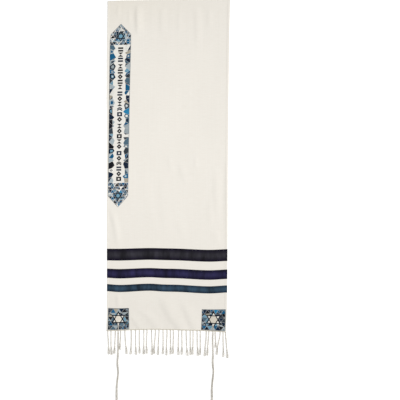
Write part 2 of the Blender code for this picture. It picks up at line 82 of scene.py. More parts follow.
# soft folds: crest as (below, x) points, half width left and right of it, height
softFolds = [
    (((0.006, -0.1420), (0.087, -0.1430), (0.172, -0.1400)), 0.015, 0.034, 0.0034),
    (((0.030, -0.1810), (0.117, -0.1800)), 0.011, 0.014, 0.0012),
    (((0.010, -0.2290), (0.087, -0.2330)), 0.012, 0.016, 0.0012),
    (((0.020, -0.0330), (0.167, -0.0310)), 0.016, 0.026, 0.0011),
    (((0.040, 0.0480), (0.172, 0.0470)), 0.018, 0.024, 0.0007),
    (((0.020, 0.1300), (0.127, 0.1310), (0.232, 0.1320)), 0.022, 0.028, 0.0013),
    (((0.030, 0.1860), (0.137, 0.1850)), 0.018, 0.022, 0.0010),
    (((0.747, -0.1110), (0.907, -0.0900), (1.117, -0.0560)), 0.044, 0.030, 0.0006),
    (((0.767, -0.0430), (0.907, -0.0300), (1.117, -0.0080)), 0.028, 0.044, 0.0005),
    (((0.707, 0.0040), (0.797, 0.0130)), 0.022, 0.019, 0.0008),
    (((0.732, 0.0520), (0.852, 0.0790)), 0.022, 0.028, 0.0009),
    (((0.707, 0.1230), (0.777, 0.1240)), 0.014, 0.018, 0.0010),
    (((0.992, 0.0380), (1.102, 0.0700)), 0.024, 0.040, 0.0008),
    (((0.737, 0.2180), (0.867, 0.2190), (1.017, 0.2150)), 0.026, 0.028, 0.0018),
    (((0.887, 0.1910), (1.037, 0.1900)), 0.026, 0.020, 0.0010),
    (((1.037, 0.2140), (1.122, 0.2240)), 0.032, 0.022, 0.0012),
    (((0.942, -0.2640), (1.037, -0.2430), (1.132, -0.2330)), 0.019, 0.026, 0.0022),
    (((1.335, -0.2330), (1.407, -0.2300)), 0.014, 0.022, 0.0015),
    (((1.337, -0.0290), (1.399, -0.0100), (1.453, 0.0170), (1.509, 0.0560)), 0.032, 0.056, 0.0028),
    (((1.367, 0.0680), (1.444, 0.0940), (1.507, 0.1200)), 0.027, 0.046, 0.0022),
    (((1.412, -0.1300), (1.457, -0.0850), (1.507, -0.0480)), 0.024, 0.036, 0.0015),
    (((1.437, -0.1720), (1.507, -0.1300)), 0.016, 0.028, 0.0014),
    (((1.337, 0.2060), (1.392, 0.1900)), 0.020, 0.020, 0.0012),
]
# height, how quickly it changes across and down the cloth, and where in the noise it lies
wrinkles = {
    "wide": (0.00060, 12, 4, 3.1),
    "fine": (0.00006, 45, 50, 8.4),
    "atFold": (0.0011, 36, 2.6, 5.2),     # soft upright waves that start at the fold
}
foldEnds = {"share": 0.35, "toHem": 1.495}     # a fold that ends below toHem runs off the hem
corners = {
    "left": {"left": -0.2785, "right": -0.1810, "eyelet": -0.2296, "seed": 12, "flat": (0.0975, 0.0976),
             "area": 0.0093, "star": (-0.2300, 1.4562), "starRadius": 0.0350, "lean": 0.045},
    "right": {"left": 0.1477, "right": 0.2568, "eyelet": 0.2014, "seed": 8, "flat": (0.1091, 0.0976),
              "area": 0.01054, "star": (0.2017, 1.4545), "starRadius": 0.0382, "lean": 0.020},
}
patchTop = 1.4073
eyeletBelow = 1.4830
clothEnd = lay["frontLength"] - lay["hemRoll"]
cordRidge = {"height": 0.0026, "half": 0.0160, "above": 0.0210, "start": 0.0100}


# A smooth curve through one column of a table, over the table's first column.
def follow(table, column, place):
    place = min(max(place, table[0][0]), table[-1][0])
    k = max(i for i in range(len(table) - 1) if table[i][0] <= place)

    def slope(i):
        a, b = table[max(i - 1, 0)], table[min(i + 1, len(table) - 1)]
        return (b[column] - a[column]) / (b[0] - a[0])

    span = table[k + 1][0] - table[k][0]
    t = (place - table[k][0]) / span
    rise = table[k + 1][column] - table[k][column]
    start, end = slope(k) * span, slope(k + 1) * span
    return table[k][column] + t * (start + t * (3 * rise - 2 * start - end
                                                + t * (start + end - 2 * rise)))


def fade(t):
    t = min(max(t, 0.0), 1.0)
    return t * t * (3 - 2 * t)


def ruffle(x, y, z):
    return 0.5 + 0.5 * noise.noise(Vector((x, y, z)))


def spread(start, end, step):
    count = max(1, ceil((end - start) / step - 1e-6))
    return [start + (end - start) * k / count for k in range(count + 1)]


@lru_cache(maxsize=None)
def edgesAt(below):
    return follow(longEdges, 1, below), follow(longEdges, 2, below)


@lru_cache(maxsize=None)
def sagAt(column, x):
    return follow(sags, column, x)


def across(share, below):
    left, right = edgesAt(below)
    return left + share * (right - left)


def shareOf(x, below):
    left, right = edgesAt(below)
    return (x - left) / (right - left)


def sag(x, below):
    k = sum(below > line for line in sagLines[1:3])
    t = fade((below - sagLines[k]) / (sagLines[k + 1] - sagLines[k]))
    return (1 - t) * sagAt(k + 1, x) + t * sagAt(k + 2, x)


# Each fold's crest at one height down the cloth, and how far it has risen there.
@lru_cache(maxsize=None)
def crestsAt(below):
    found = []
    for crest, left, right, height in softFolds:
        (start, startX), (end, endX) = crest[0], crest[-1]
        if start < below < end:
            t = (below - start) / (end - start)
            last = 1.0 if end > foldEnds["toHem"] else fade((1 - t) / foldEnds["share"])
            found.append((follow(crest, 1, below), cos(atan2(endX - startX, end - start)), left, right,
                          height * fade(t / foldEnds["share"]) * last))
    return found


def foldLift(x, below):
    total = 0.0
    for crestX, slant, left, right, height in crestsAt(below):
        off = (x - crestX) * slant
        half = left if off < 0 else right
        if abs(off) < half:
            total += height * fade(1 - abs(off) / half)
    return total


def cordLift(x, below):
    start = fade((below - eyeletBelow + cordRidge["above"]) / cordRidge["start"])
    tent = sum(max(0.0, 1 - abs(x - side["eyelet"]) / cordRidge["half"]) for side in corners.values())
    return cordRidge["height"] * start * tent


def wrinkle(x, below):
    (top, topOver), (end, endOver) = lay["calmTop"], lay["calmEnd"]
    calm = fade((below - top) / topOver) * (1 - lay["calmShare"] * fade((below - end) / endOver))
    wide, fine, atFold = (height * ruffle(x * crosswise, below * down, place)
                          for height, crosswise, down, place in wrinkles.values())
    return calm * (wide + fine + atFold * (1 - fade(below / lay["wavesEnd"])))


def edgeCurl(x, below):
    along = (below - lay["curlFrom"]) / (lay["curlTo"] - lay["curlFrom"])
    if not 0 < along < 1:
        return 0.0
    return (lay["edgeCurl"] * sin(pi * along)
            * fade((x - edgesAt(below)[1] + lay["curlIn"]) / lay["curlSlope"]))


def underside(x, below):
    onFlap = (lay["wall"] + lay["layerGap"]) * (
        1 - fade((below - lay["flapLength"] - lay["flapStepAfter"]) / lay["flapStep"]))
    puff = 2 * lay["rollRadius"] - 2 * lay["wall"] - lay["layerGap"]
    roll = puff * (1 - fade((below - lay["rollRadius"]) / lay["rollSettles"]))
    return (onFlap + roll + cordLift(x, below) + foldLift(x, below) + edgeCurl(x, below)
            + wrinkle(x, below))


# How much of the hem's rise there is, at a share of the width.
def hemAt(share):
    width = longEdges[-1][2] - longEdges[-1][1]
    left = fade((lay["hemWidth"][0] - share * width) / lay["hemSlope"])
    right = fade((lay["hemWidth"][1] - (1 - share) * width) / lay["hemSlope"])
    return max(left, right)


def frontPoint(x, below, lift, onHem=True):
    rise = lay["hemRise"] * hemAt(shareOf(x, below)) if onHem else 0.0
    return Vector((x, lay["foldY"] - below - sag(x, below), underside(x, below) + lift + rise))


def addObject(name, data, place=(0, 0, 0)):
    thing = bpy.data.objects.new(name, data)
    thing.location = place
    bpy.context.scene.collection.objects.link(thing)
    return thing


def newFinish(name, roughness, specular):
    finish = bpy.data.materials.new(name)
    finish.use_nodes = True
    shader = finish.node_tree.nodes["Principled BSDF"]
    shader.inputs["Roughness"].default_value = roughness
    shader.inputs["Specular IOR Level"].default_value = specular
    return finish, finish.node_tree, shader


# Nodes stand in columns of four, from right to left.
def addNode(tree, kind, **settings):
    count = len(tree.nodes)
    node = tree.nodes.new(kind)
    node.location = (-230 * (count // 4), 300 - 280 * (count % 4))
    for key, value in settings.items():
        setattr(node, key, value)
    return node


# Each socket gets a number, a colour or another node's output.
def feed(tree, node, values):
    for key, value in values.items():
        if isinstance(value, (int, float, tuple)):
            node.inputs[key].default_value = value
        else:
            tree.links.new(value, node.inputs[key])


def calc(tree, operation, a, b=0.0):
    node = addNode(tree, "ShaderNodeMath", operation=operation)
    feed(tree, node, {0: a, 1: b})
    return node.outputs[0]


def times(tree, value, *others):
    for other in others:
        value = calc(tree, "MULTIPLY", value, other)
    return value


def ripples(tree, value, length):
    return calc(tree, "SINE", times(tree, value, 2 * pi / length))


# how fine along the map's axes, detail, roughness
grains = {
    "slubs": ((34, 640, 1), 4, 0.55), "longSlubs": ((6, 130, 1), 3, 0.5), "clouds": ((6, 3, 1), 2, 0.5),
    "warpStreaks": ((240, 3, 1), 2, 0.5), "ribbonStreaks": ((9, 420, 1), 3, 0.6),
    "sheenPatches": ((26, 7, 1), 4, 0.62), "strands": ((2100, 60, 1), 2, 0.5),
    "fibres": (1500, 3, 0.6), "cordTone": (60, 2, 0.5), "paper": (2, 2, 0.5),
}


# Noise on a map; a tuple for its scale stretches it.
def grain(tree, vector, name):
    scale, detail, roughness = grains[name]
    if isinstance(scale, tuple):
        mapping = addNode(tree, "ShaderNodeMapping")
        feed(tree, mapping, {"Vector": vector, "Scale": scale})
        vector, scale = mapping.outputs["Vector"], 1
    node = addNode(tree, "ShaderNodeTexNoise")
    feed(tree, node, {"Vector": vector, "Scale": scale, "Detail": detail, "Roughness": roughness})
    return node.outputs["Fac"]


def levels(tree, value, low, high, outLow, outHigh):
    node = addNode(tree, "ShaderNodeMapRange")
    feed(tree, node, {"Value": value, "From Min": low, "From Max": high, "To Min": outLow,
                      "To Max": outHigh})
    return node.outputs["Result"]


def blendColours(tree, factor, first, second, kind="MIX"):
    node = addNode(tree, "ShaderNodeMix", data_type="RGBA", blend_type=kind)
    feed(tree, node, {0: factor, 6: first, 7: second})
    return node.outputs[2]


# The colour, darkened by a tone, and a bump go to the shader.
def paint(tree, shader, colour, tone, height, distance, strength):
    if tone is not None:
        colour = blendColours(tree, 1, colour, tone, "MULTIPLY")
    node = addNode(tree, "ShaderNodeBump")
    feed(tree, node, {"Strength": strength, "Distance": distance, "Height": height})
    feed(tree, shader, {"Base Color": colour, "Normal": node.outputs["Normal"]})


# The map that follows the threads, in metres, and its two axes.
def threadMap(tree):
    uv = addNode(tree, "ShaderNodeUVMap", uv_map="threads").outputs["UV"]
    split = addNode(tree, "ShaderNodeSeparateXYZ")
    tree.links.new(uv, split.inputs[0])
    return uv, split.outputs[0], split.outputs[1]


noiseSpan = (0.30, 0.70)      # most of a noise node's values lie between these
full = (0.0, 1.0)

silkValues = {
    "roughness": 0.70, "specular": 0.10, "warp": 0.00060, "weft": 0.00085,
    "slubSpan": (0.32, 0.68), "longSlubDip": 0.012, "streakTone": (0.982, 1.0), "cloudTone": (0.985, 1.005),
    "foldShadeDown": (-0.02, 0.15, 1.0, 0.0), "foldShadeOver": (-0.30, 0.28, 1.0, 0.05),     # from, to, painted shade at each
    "foldShadeClouds": (0.6, 1.0), "foldShadeColour": (0.56, 0.49, 0.310, 1),
    "weave": 0.22, "slubHeight": 1.4, "bump": (0.00022, 0.9),     # a bump's depth and strength
}


# Plain weave with slubs along the weft; painted shade darkens the silk near the fold.
def rawSilk(name, light, dark, slub=1.0, foldShade=0.0):
    values = silkValues
    finish, tree, shader = newFinish(name, values["roughness"], values["specular"])
    uv, weftWay, warpWay = threadMap(tree)
    slubs = grain(tree, uv, "slubs")
    clouds = grain(tree, uv, "clouds")
    colour = blendColours(tree, levels(tree, slubs, *values["slubSpan"], *full), dark, light)
    long = levels(tree, grain(tree, uv, "longSlubs"), *noiseSpan, 1 - values["longSlubDip"] * slub, 1.0)
    streak = levels(tree, grain(tree, uv, "warpStreaks"), *noiseSpan, *values["streakTone"])
    tone = times(tree, long, streak, levels(tree, clouds, *noiseSpan, *values["cloudTone"]))
    if foldShade:
        # painted shade near the fold, most of all at its left end
        down = levels(tree, warpWay, *values["foldShadeDown"])
        over = levels(tree, weftWay, *values["foldShadeOver"])
        paintedShade = times(tree, down, over, levels(tree, clouds, *noiseSpan, *values["foldShadeClouds"]), foldShade)
        colour = blendColours(tree, 1, colour, tone, "MULTIPLY")
        colour, tone = blendColours(tree, paintedShade, colour, values["foldShadeColour"]), None
    weave = times(tree, ripples(tree, weftWay, 2 * values["warp"]),
                  ripples(tree, warpWay, 2 * values["weft"]), values["weave"])
    height = calc(tree, "ADD", weave, times(tree, slubs, values["slubHeight"] * slub))
    paint(tree, shader, colour, tone, height, *values["bump"])
    return finish


ribbonValues = {
    "roughness": 0.42, "specular": 0.07, "edgeDarkening": (0.10, 0.40), "sheenPatchSpan": (0.34, 0.66),
    "sheenPatchTone": (0.48, 1.60), "streakTone": (0.70, 1.0), "streakRoughness": (0.36, 0.52),
    "ribPitch": 0.0009, "ribHeight": 0.35, "bump": (0.00018, 0.8),
}


# Woven ribbon: fine crosswise ribs, darker towards its top and bottom edges, with lighter and darker patches
# of painted sheen along it.
def ribbonSatin(name, band):
    values = ribbonValues
    finish, tree, shader = newFinish(name, values["roughness"], values["specular"])
    uv, _, down = threadMap(tree)
    place = levels(tree, down, band["top"], band["top"] + band["height"], *full)
    # darker towards both edges, lighter in the middle
    inside = levels(tree, calc(tree, "PINGPONG", place, 0.5), *values["edgeDarkening"], *full)
    streaks = grain(tree, uv, "ribbonStreaks")
    # painted sheen: lighter and darker patches along the ribbon
    paintedSheen = levels(tree, grain(tree, uv, "sheenPatches"), *values["sheenPatchSpan"], *values["sheenPatchTone"])
    tone = times(tree, inside, levels(tree, streaks, *noiseSpan, *values["streakTone"]))
    colour = blendColours(tree, tone, band["edge"], band["middle"])
    ribs = times(tree, ripples(tree, down, values["ribPitch"]), values["ribHeight"])
    paint(tree, shader, colour, paintedSheen, calc(tree, "ADD", ribs, streaks), *values["bump"])
    feed(tree, shader, {"Roughness": levels(tree, streaks, *noiseSpan, *values["streakRoughness"])})
    return finish


threadValues = {
    "roughness": 0.38, "specular": 0.07, "tone": (0.80, 1.12), "strandPitch": 0.00055,
    "strandHeight": 0.5, "bump": (0.00016, 0.9),
}


# Satin stitch: parallel threads along the map's second axis, each piece a shade of its own.
def embroideryThread(name, colour):
    values = threadValues
    finish, tree, shader = newFinish(name, values["roughness"], values["specular"])
    uv, beside, _ = threadMap(tree)
    strands = grain(tree, uv, "strands")
    shade = addNode(tree, "ShaderNodeAttribute", attribute_name="shade").outputs["Fac"]
    tone = times(tree, levels(tree, strands, *noiseSpan, *values["tone"]), shade)
    relief = times(tree, ripples(tree, beside, values["strandPitch"]), values["strandHeight"])
    paint(tree, shader, (*colour, 1), tone, calc(tree, "ADD", relief, strands), *values["bump"])
    return finish


cordValues = {"specular": 0.08, "fibreShare": 0.55, "span": (0.36, 0.62), "bump": (0.00030, 0.8)}


# Spun thread: soft fibres and a slight change of tone along the cord.
def spunCord(name, light, dark, roughness):
    values = cordValues
    finish, tree, shader = newFinish(name, roughness, values["specular"])
    place = addNode(tree, "ShaderNodeTexCoord").outputs["Object"]
    fibres = grain(tree, place, "fibres")
    mixed = calc(tree, "ADD", times(tree, fibres, values["fibreShare"]),
                 times(tree, grain(tree, place, "cordTone"), 1 - values["fibreShare"]))
    colour = blendColours(tree, levels(tree, mixed, *values["span"], *full), (*dark, 1), (*light, 1))
    paint(tree, shader, colour, None, fibres, *values["bump"])
    return finish


# light, dark, then how slubby and how much painted shade near the fold
silks = {
    "shawlSilk": ((0.842, 0.812, 0.758, 1), (0.808, 0.774, 0.713, 1), 1.0, 0.20),
    # the hem's silk is darker than the shawl's: painted shade on the rolled edge
    "hemSilkShaded": ((0.70, 0.665, 0.575, 1), (0.58, 0.54, 0.455, 1)),
    "neckbandGround": ((0.84, 0.82, 0.78, 1), (0.76, 0.74, 0.69, 1), 0.5),
    "patchGround": ((0.50, 0.51, 0.50, 1), (0.38, 0.40, 0.40, 1), 0.5),
}
# light, dark, roughness
cords = {
    "sewingThread": ((0.80, 0.77, 0.70), (0.66, 0.62, 0.55), 0.55),
    "darkThread": ((0.030, 0.030, 0.045), (0.012, 0.012, 0.020), 0.5),
    "steelCord": ((0.20, 0.24, 0.27), (0.06, 0.08, 0.11), 0.45),
    # the fringe and tassel cords keep a cream tone, darkened overall with painted shade of their twisted
    # strands
    "fringeCord": ((0.82, 0.795, 0.74), (0.57, 0.54, 0.48), 0.72),
    "tasselCord": ((0.74, 0.71, 0.65), (0.50, 0.47, 0.41), 0.72),
}
bands = {
    "bandCharcoal": {"node": "band_charcoal", "top": 1.1356, "height": 0.0538, "flatWidth": 0.5494,
                     "edge": (0.0038, 0.0022, 0.0105, 1), "middle": (0.0260, 0.0250, 0.0320, 1)},
    "bandViolet": {"node": "band_violet", "top": 1.2275, "height": 0.0427, "flatWidth": 0.5487,
                   "edge": (0.0045, 0.0030, 0.0190, 1), "middle": (0.0210, 0.0190, 0.0640, 1)},
    "bandTeal": {"node": "band_teal", "top": 1.2992, "height": 0.0325, "flatWidth": 0.5479,
                 "edge": (0.0095, 0.0220, 0.0410, 1), "middle": (0.0270, 0.0560, 0.0900, 1)},
}
threadColours = {
    "ink": (0.0035, 0.0042, 0.0085), "navy": (0.0040, 0.0150, 0.0400), "blue": (0.0060, 0.0980, 0.2150),
    "azure": (0.0200, 0.2000, 0.3800), "sky": (0.1500, 0.3100, 0.4200), "steel": (0.0700, 0.1300, 0.1800),
    "slate": (0.0300, 0.0420, 0.0560), "silver": (0.3600, 0.4200, 0.4500), "pale": (0.7600, 0.7500, 0.7100),
    "cream": (0.7600, 0.7100, 0.6200), "sand": (0.3600, 0.3250, 0.2600),
}
threadOrder = list(threadColours)
finishes = {name: rawSilk(name, *settings) for name, settings in silks.items()}
finishes.update({name: spunCord(name, *settings) for name, settings in cords.items()})
finishes.update({name: ribbonSatin(name, band) for name, band in bands.items()})
finishes.update({name: embroideryThread("thread" + name.capitalize(), colour)
                 for name, colour in threadColours.items()})
print("materials ready:", len(finishes))


def newPiece(name, shape, finishNames, nodes=(), angle=40):
    mesh = shapeMesh(shape) if isinstance(shape, dict) else shape
    mesh.name = name
    mesh.shade_smooth()
    mesh.set_sharp_from_angle(angle=radians(angle))
    for finishName in finishNames:
        mesh.materials.append(finishes[finishName])
    piece = addObject(name, mesh)
    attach(piece, "root")
    if nodes:
        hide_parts(*nodes)
    return piece


def newShape():
    return {"points": [], "faces": [], "uvs": []}


def shapeMesh(shape):
    mesh = bpy.data.meshes.new("piece")
    mesh.from_pydata([tuple(point) for point in shape["points"]], [], shape["faces"])
    if shape["uvs"]:
        layer = mesh.uv_layers.new(name="threads")
        layer.data.foreach_set("uv", [part for loop in mesh.loops
                                      for part in shape["uvs"][loop.vertex_index]])
    return mesh


rimShares = {"first": 0.3, "foot": 0.25}     # the first stop inside a rim, and the height of its foot


# Even stops, with closer ones near both ends for the rounded rim.
def rimmed(start, end, rim, inner):
    return [start, start + rimShares["first"] * rim] + inner + [end - rimShares["first"] * rim, end]


def edged(start, end, step, rim):
    return rimmed(start, end, rim, spread(start + rim, end - rim, step))


# A closed sheet lying on the front, its rim rounded down over a short width.
def gridPanel(rows, columnsAt, values):
    shape = newShape()
    faces = shape["faces"]
    bottom, top, rim = values["bottom"], values["top"], values["rim"]
    first, last = rows[0], rows[-1]
    count = len(columnsAt(first))
    for isTop in (False, True):
        for below in rows:
            xs = columnsAt(below)
            for x in xs:
                inside = min(below - first, last - below, x - xs[0], xs[-1] - x)
                crown = sqrt(max(0.0, 1 - (1 - min(inside / rim, 1)) ** 2))
                share = rimShares["foot"] + (1 - rimShares["foot"]) * crown if isTop else 0
                shape["points"].append(frontPoint(x, below, bottom + (top - bottom) * share))
                shape["uvs"].append((x, below))
    size = len(rows) * count
    for i in range(len(rows) - 1):
        for j in range(count - 1):
            a = i * count + j
            faces.append((a, a + 1, a + count + 1, a + count))
            b = size + a
            faces.append((b, b + count, b + count + 1, b + 1))
    ringed = list(range(count)) + [i * count + count - 1 for i in range(1, len(rows))]
    ringed += [(len(rows) - 1) * count + j for j in range(count - 2, -1, -1)]
    ringed += [i * count for i in range(len(rows) - 2, 0, -1)]
    for a, b in sidesOf(ringed):
        faces.append((a, a + size, b + size, b))
    return shape


# Each point with the next one, all the way round.
def sidesOf(points):
    return list(zip(points, points[1:] + points[:1]))


# A point, direction and two side vectors at each step of a path, without sudden turns.
def frames(path):
    result = []
    side = None
    for k, point in enumerate(path):
        ahead = (path[min(k + 1, len(path) - 1)] - path[max(k - 1, 0)]).normalized()
        if side is None:
            side = ahead.cross(Vector((0, 0, 1)))
            if side.length < 0.2:
                side = ahead.cross(Vector((0, 1, 0)))
        side = (side - ahead * side.dot(ahead)).normalized()
        result.append((point, ahead, side, ahead.cross(side)))
    return result


# Faces of a closed tube of even rings; points run round each ring.
def tubeFaces(faces, first, rings, sides, flip=False):
    for k in range(rings - 1):
        for a, b in sidesOf([first + k * sides + n for n in range(sides)]):
            faces.append((a, a + sides, b + sides, b) if flip else (a, b, b + sides, a + sides))
    end = first + (rings - 1) * sides
    for cap in (range(first, first + sides)[::-1], range(end, end + sides)):
        faces.append(tuple(cap[::-1] if flip else cap))


# A closed tube along a path; radius is one number or one for each point.
def sweep(shape, path, radius, sides, flat=1.0):
    first = len(shape["points"])
    for k, (point, _, side, up) in enumerate(frames(path)):
        r = radius[k] if isinstance(radius, list) else radius
        for n in range(sides):
            angle = 2 * pi * n / sides
            shape["points"].append(point + side * (r * cos(angle)) + up * (r * flat * sin(angle)))
    tubeFaces(shape["faces"], first, len(path), sides)


def distances(path):
    gone = [0.0]
    for a, b in zip(path, path[1:]):
        gone.append(gone[-1] + (b - a).length)
    return gone


# Even points along a path of straight runs.
def resample(path, step):
    gone = distances(path)
    count = max(2, round(gone[-1] / step))
    result = []
    k = 0
    for n in range(count + 1):
        goal = gone[-1] * n / count
        while k < len(path) - 2 and gone[k + 1] < goal:
            k += 1
        result.append(path[k].lerp(path[k + 1], (goal - gone[k]) / max(gone[k + 1] - gone[k], 1e-9)))
    return result


# Two plies wound round a path, as in a twisted cord; plyAt gives their radius along it.
def twist(shape, path, offset, plyAt, pitch, start):
    path = resample(path, pitch / 7)
    gone = distances(path)
    steps = frames(path)
    for ply in range(2):
        strand = []
        for distance, (point, _, side, up) in zip(gone, steps):
            turn = start + 2 * pi * (distance / pitch + ply / 2)
            strand.append(point + side * (offset * cos(turn)) + up * (offset * sin(turn)))
        sweep(shape, strand, [plyAt(distance / gone[-1]) for distance in gone], 5)


sewing = {
    "arc": ((0.12, 0.8), (0.5, 1.0), (0.88, 0.8)),     # shares of a stitch's length and rise
    "ends": 0.8, "start": 0.2, "loose": (0.08, 0.06),
}


# One stitch: it comes up, lies across and goes down again.
def stitch(shape, start, end, rise, radius):
    up = Vector((0, 0, 1))
    over = [start.lerp(end, t) + up * rise * share for t, share in sewing["arc"]]
    thin = radius * sewing["ends"]
    sweep(shape, [start - up * radius] + over + [end - up * radius], [thin] + 3 * [radius] + [thin], 4)


# Running stitches along a line; pointAt takes a distance along it.
def stitchLine(shape, pointAt, length, values, seed):
    chance = random.Random(seed)
    count = int(length / values["pitch"])
    for k in range(count):
        start = (k + sewing["start"] + sewing["loose"][0] * chance.random()) * length / count
        end = start + values["pitch"] * (values["share"] + sewing["loose"][1] * chance.random())
        stitch(shape, pointAt(start), pointAt(min(end, length)), values["rise"], values["radius"])


clothValues = {
    "columns": 120, "frontStep": 0.0052, "flapStep": 0.0086, "rollSteps": 14,
    "fieldWall": 0.0007,      # single cloth between the hems
    "edgeIn": 0.0009, "edgeWander": 0.0005, "wanderRate": 31,
    "hemMarks": [0, 0.0014, 0.0030, 0.0046, 0.0062, 0.0074, 0.0088, 0.0104, 0.0122],
    "eyeletRadius": 0.0030, "eyeletSides": 20, "cutterDepth": 0.030,
}


def clothColumns(below):
    left, right = edgesAt(below)
    wander = [ruffle(place, below * clothValues["wanderRate"], 1.7) for place in (0, 7.3)]
    left += clothValues["edgeIn"] + clothValues["edgeWander"] * wander[0]
    right -= clothValues["edgeIn"] + clothValues["edgeWander"] * wander[1]
    width = right - left
    sides = [mark / width for mark in clothValues["hemMarks"]]
    inner = clothValues["columns"] - 2 * len(sides) + 2
    middle = [sides[-1] + (1 - 2 * sides[-1]) * k / inner for k in range(1, inner)]
    return [left + share * width for share in sides + middle + [1 - s for s in reversed(sides)]]


# Flap underneath, roll at the fold and the front, as one closed shell of thin cloth.
def makeCloth():
    shape = newShape()
    points, uvs, faces = shape["points"], shape["uvs"], shape["faces"]
    wall, thin, radius = lay["wall"], clothValues["fieldWall"], lay["rollRadius"]
    foldY = lay["foldY"]
    rings = []

    # one section, its two edges rounded
    def addSection(outer, inner, below):
        rings.append(len(points))
        points.extend(outer)
        uvs.extend((point.x, below) for point in outer)
        for end, out, turns in ((-1, 1, (45, 90, 135)), (0, -1, (135, 90, 45))):
            middle = (outer[end] + inner[end]) / 2
            half = (outer[end] - inner[end]).length / 2
            if end == 0:
                points.extend(reversed(inner))
                uvs.extend((point.x, below) for point in reversed(inner))
            for turn in turns:
                angle = radians(turn)
                points.append(middle + (outer[end] - middle) * cos(angle)
                              + Vector((out * half * sin(angle), 0, 0)))
                uvs.append((middle.x, below))

    for below in reversed(spread(radius, lay["flapLength"], clothValues["flapStep"])):
        t = below / lay["flapLength"]
        outer, inner = [], []
        for x in clothColumns(below):
            share = shareOf(x, below)
            x += t * ((1 - share) * lay["flapInset"][0] - share * lay["flapInset"][1])
            y = foldY - below - (1 - t) * sag(x, 0)
            outer.append(Vector((x, y, 0)))
            inner.append(Vector((x, y, thin + (wall - thin) * hemAt(share))))
        addSection(outer, inner, -below)
    for k in range(1, clothValues["rollSteps"]):
        angle = pi * (k / clothValues["rollSteps"] - 0.5)
        out = Vector((0, cos(angle), sin(angle)))
        outer, inner = [], []
        for x in clothColumns(radius):
            middle = Vector((x, foldY - radius - sag(x, 0), radius))
            outer.append(middle + out * radius)
            inner.append(middle + out * (radius - thin - (wall - thin) * hemAt(shareOf(x, radius))))
        addSection(outer, inner, 0.0)
    for below in spread(radius, clothEnd, clothValues["frontStep"]):
        outer, inner = [], []
        for x in clothColumns(below):
            outer.append(frontPoint(x, below, wall))
            inner.append(frontPoint(x, below, (wall - thin) * (1 - hemAt(shareOf(x, below))), onHem=False))
        addSection(outer, inner, below)
    size = rings[1] - rings[0]
    for a, b in zip(rings, rings[1:]):
        for n, m in sidesOf(list(range(size))):
            faces.append((a + n, b + n, b + m, a + m))
    # both ends are closed by strips, and by a fan at each rounded edge
    count = clothValues["columns"] + 1
    for ring, step in ((rings[0], 1), (rings[-1], -1)):
        for n in range(count - 1):
            inner = ring + count + 3 + (count - 1 - n)
            faces.append((ring + n, ring + n + 1, inner - 1, inner)[::step])
        faces.append(tuple(ring + count - 1 + k for k in range(5))[::step])
        faces.append(tuple([ring] + [ring + size - k for k in (1, 2, 3, 4)])[::-step])
    return newPiece("clothShell", shape, ["shawlSilk"], ["shawl_cloth"])


def eyeletCutters():
    cutters = []
    radius = clothValues["eyeletRadius"]
    for corner in corners.values():
        mesh = bmesh.new()
        bmesh.ops.create_cone(mesh, cap_ends=True, segments=clothValues["eyeletSides"], radius1=radius,
                              radius2=radius, depth=clothValues["cutterDepth"])
        data = bpy.data.meshes.new("eyeletCutter")
        mesh.to_mesh(data)
        mesh.free()
        cutters.append(addObject("eyeletCutter", data, frontPoint(corner["eyelet"], eyeletBelow, 0)))
    return cutters


def cutEyelets(piece, cutters):
    for cutter in cutters:
        hole = piece.modifiers.new("eyelet", "BOOLEAN")
        hole.operation = "DIFFERENCE"
        hole.solver = "EXACT"
        hole.object = cutter
    cut = bpy.data.meshes.new_from_object(piece.evaluated_get(bpy.context.evaluated_depsgraph_get()))
    piece.modifiers.clear()
    piece.data = cut
    cut.name = piece.name


clothShell = makeCloth()
cutters = eyeletCutters()
cutEyelets(clothShell, cutters)
print("cloth:", len(clothShell.data.polygons), "faces")


bandValues = {
    "bottom": 0.00145, "top": 0.00235, "rim": 0.0009, "edgeIn": 0.0006, "columns": 110, "rowStep": 0.0050,
    "rimFirst": 0.0003, "seamIn": 0.0017, "seamEnds": 0.002,
    "pitch": 0.0040, "share": 0.62, "rise": 0.00018, "radius": 0.00022, "seed": 11,
}


def bandColumns(below):
    values = bandValues
    left, right = edgesAt(below)
    left += values["edgeIn"]
    right -= values["edgeIn"]
    inner = spread(left + values["rim"], right - values["rim"], (right - left) / values["columns"])
    return [left, left + values["rimFirst"]] + inner + [right - values["rimFirst"], right]


def makeBands():
    values = bandValues
    pieces, seams = [], newShape()
    for number, (name, band) in enumerate(bands.items()):
        top, end = band["top"], band["top"] + band["height"]
        rows = edged(top, end, values["rowStep"], values["rim"])
        pieces.append(newPiece(name, gridPanel(rows, bandColumns, values), [name],
                               [band["node"]]))
        for below in (top + values["seamIn"], end - values["seamIn"]):
            left, right = edgesAt(below)
            stitchLine(seams, lambda d: frontPoint(left + values["seamEnds"] + d, below, values["top"]),
                       right - left - 2 * values["seamEnds"], values, values["seed"] + number)
    return pieces, newPiece("bandStitches", seams, ["darkThread"])


bandPieces, bandSeams = makeBands()
print("bands:", len(bandPieces))


def area(points):
    return 0.5 * sum(p[0] * q[1] - q[0] * p[1] for p, q in sidesOf(points))


def between(p, q, t):
    return (p[0] + t * (q[0] - p[0]), p[1] + t * (q[1] - p[1]))


def apart(p, q):
    return hypot(q[0] - p[0], q[1] - p[1])


# How far c is to the left of the line from a to b, times that line's length.
def offLine(a, b, c):
    return (b[0] - a[0]) * (c[1] - a[1]) - (b[1] - a[1]) * (c[0] - a[0])


# Keep the part of a polygon to the left of the line from a to b.
def clip(points, a, b):
    kept = []
    for p, q in sidesOf(points):
        dp, dq = offLine(a, b, p), offLine(a, b, q)
        if dp >= 0:
            kept.append(p)
        if dp * dq < 0:
            kept.append(between(p, q, dp / (dp - dq)))
    return kept


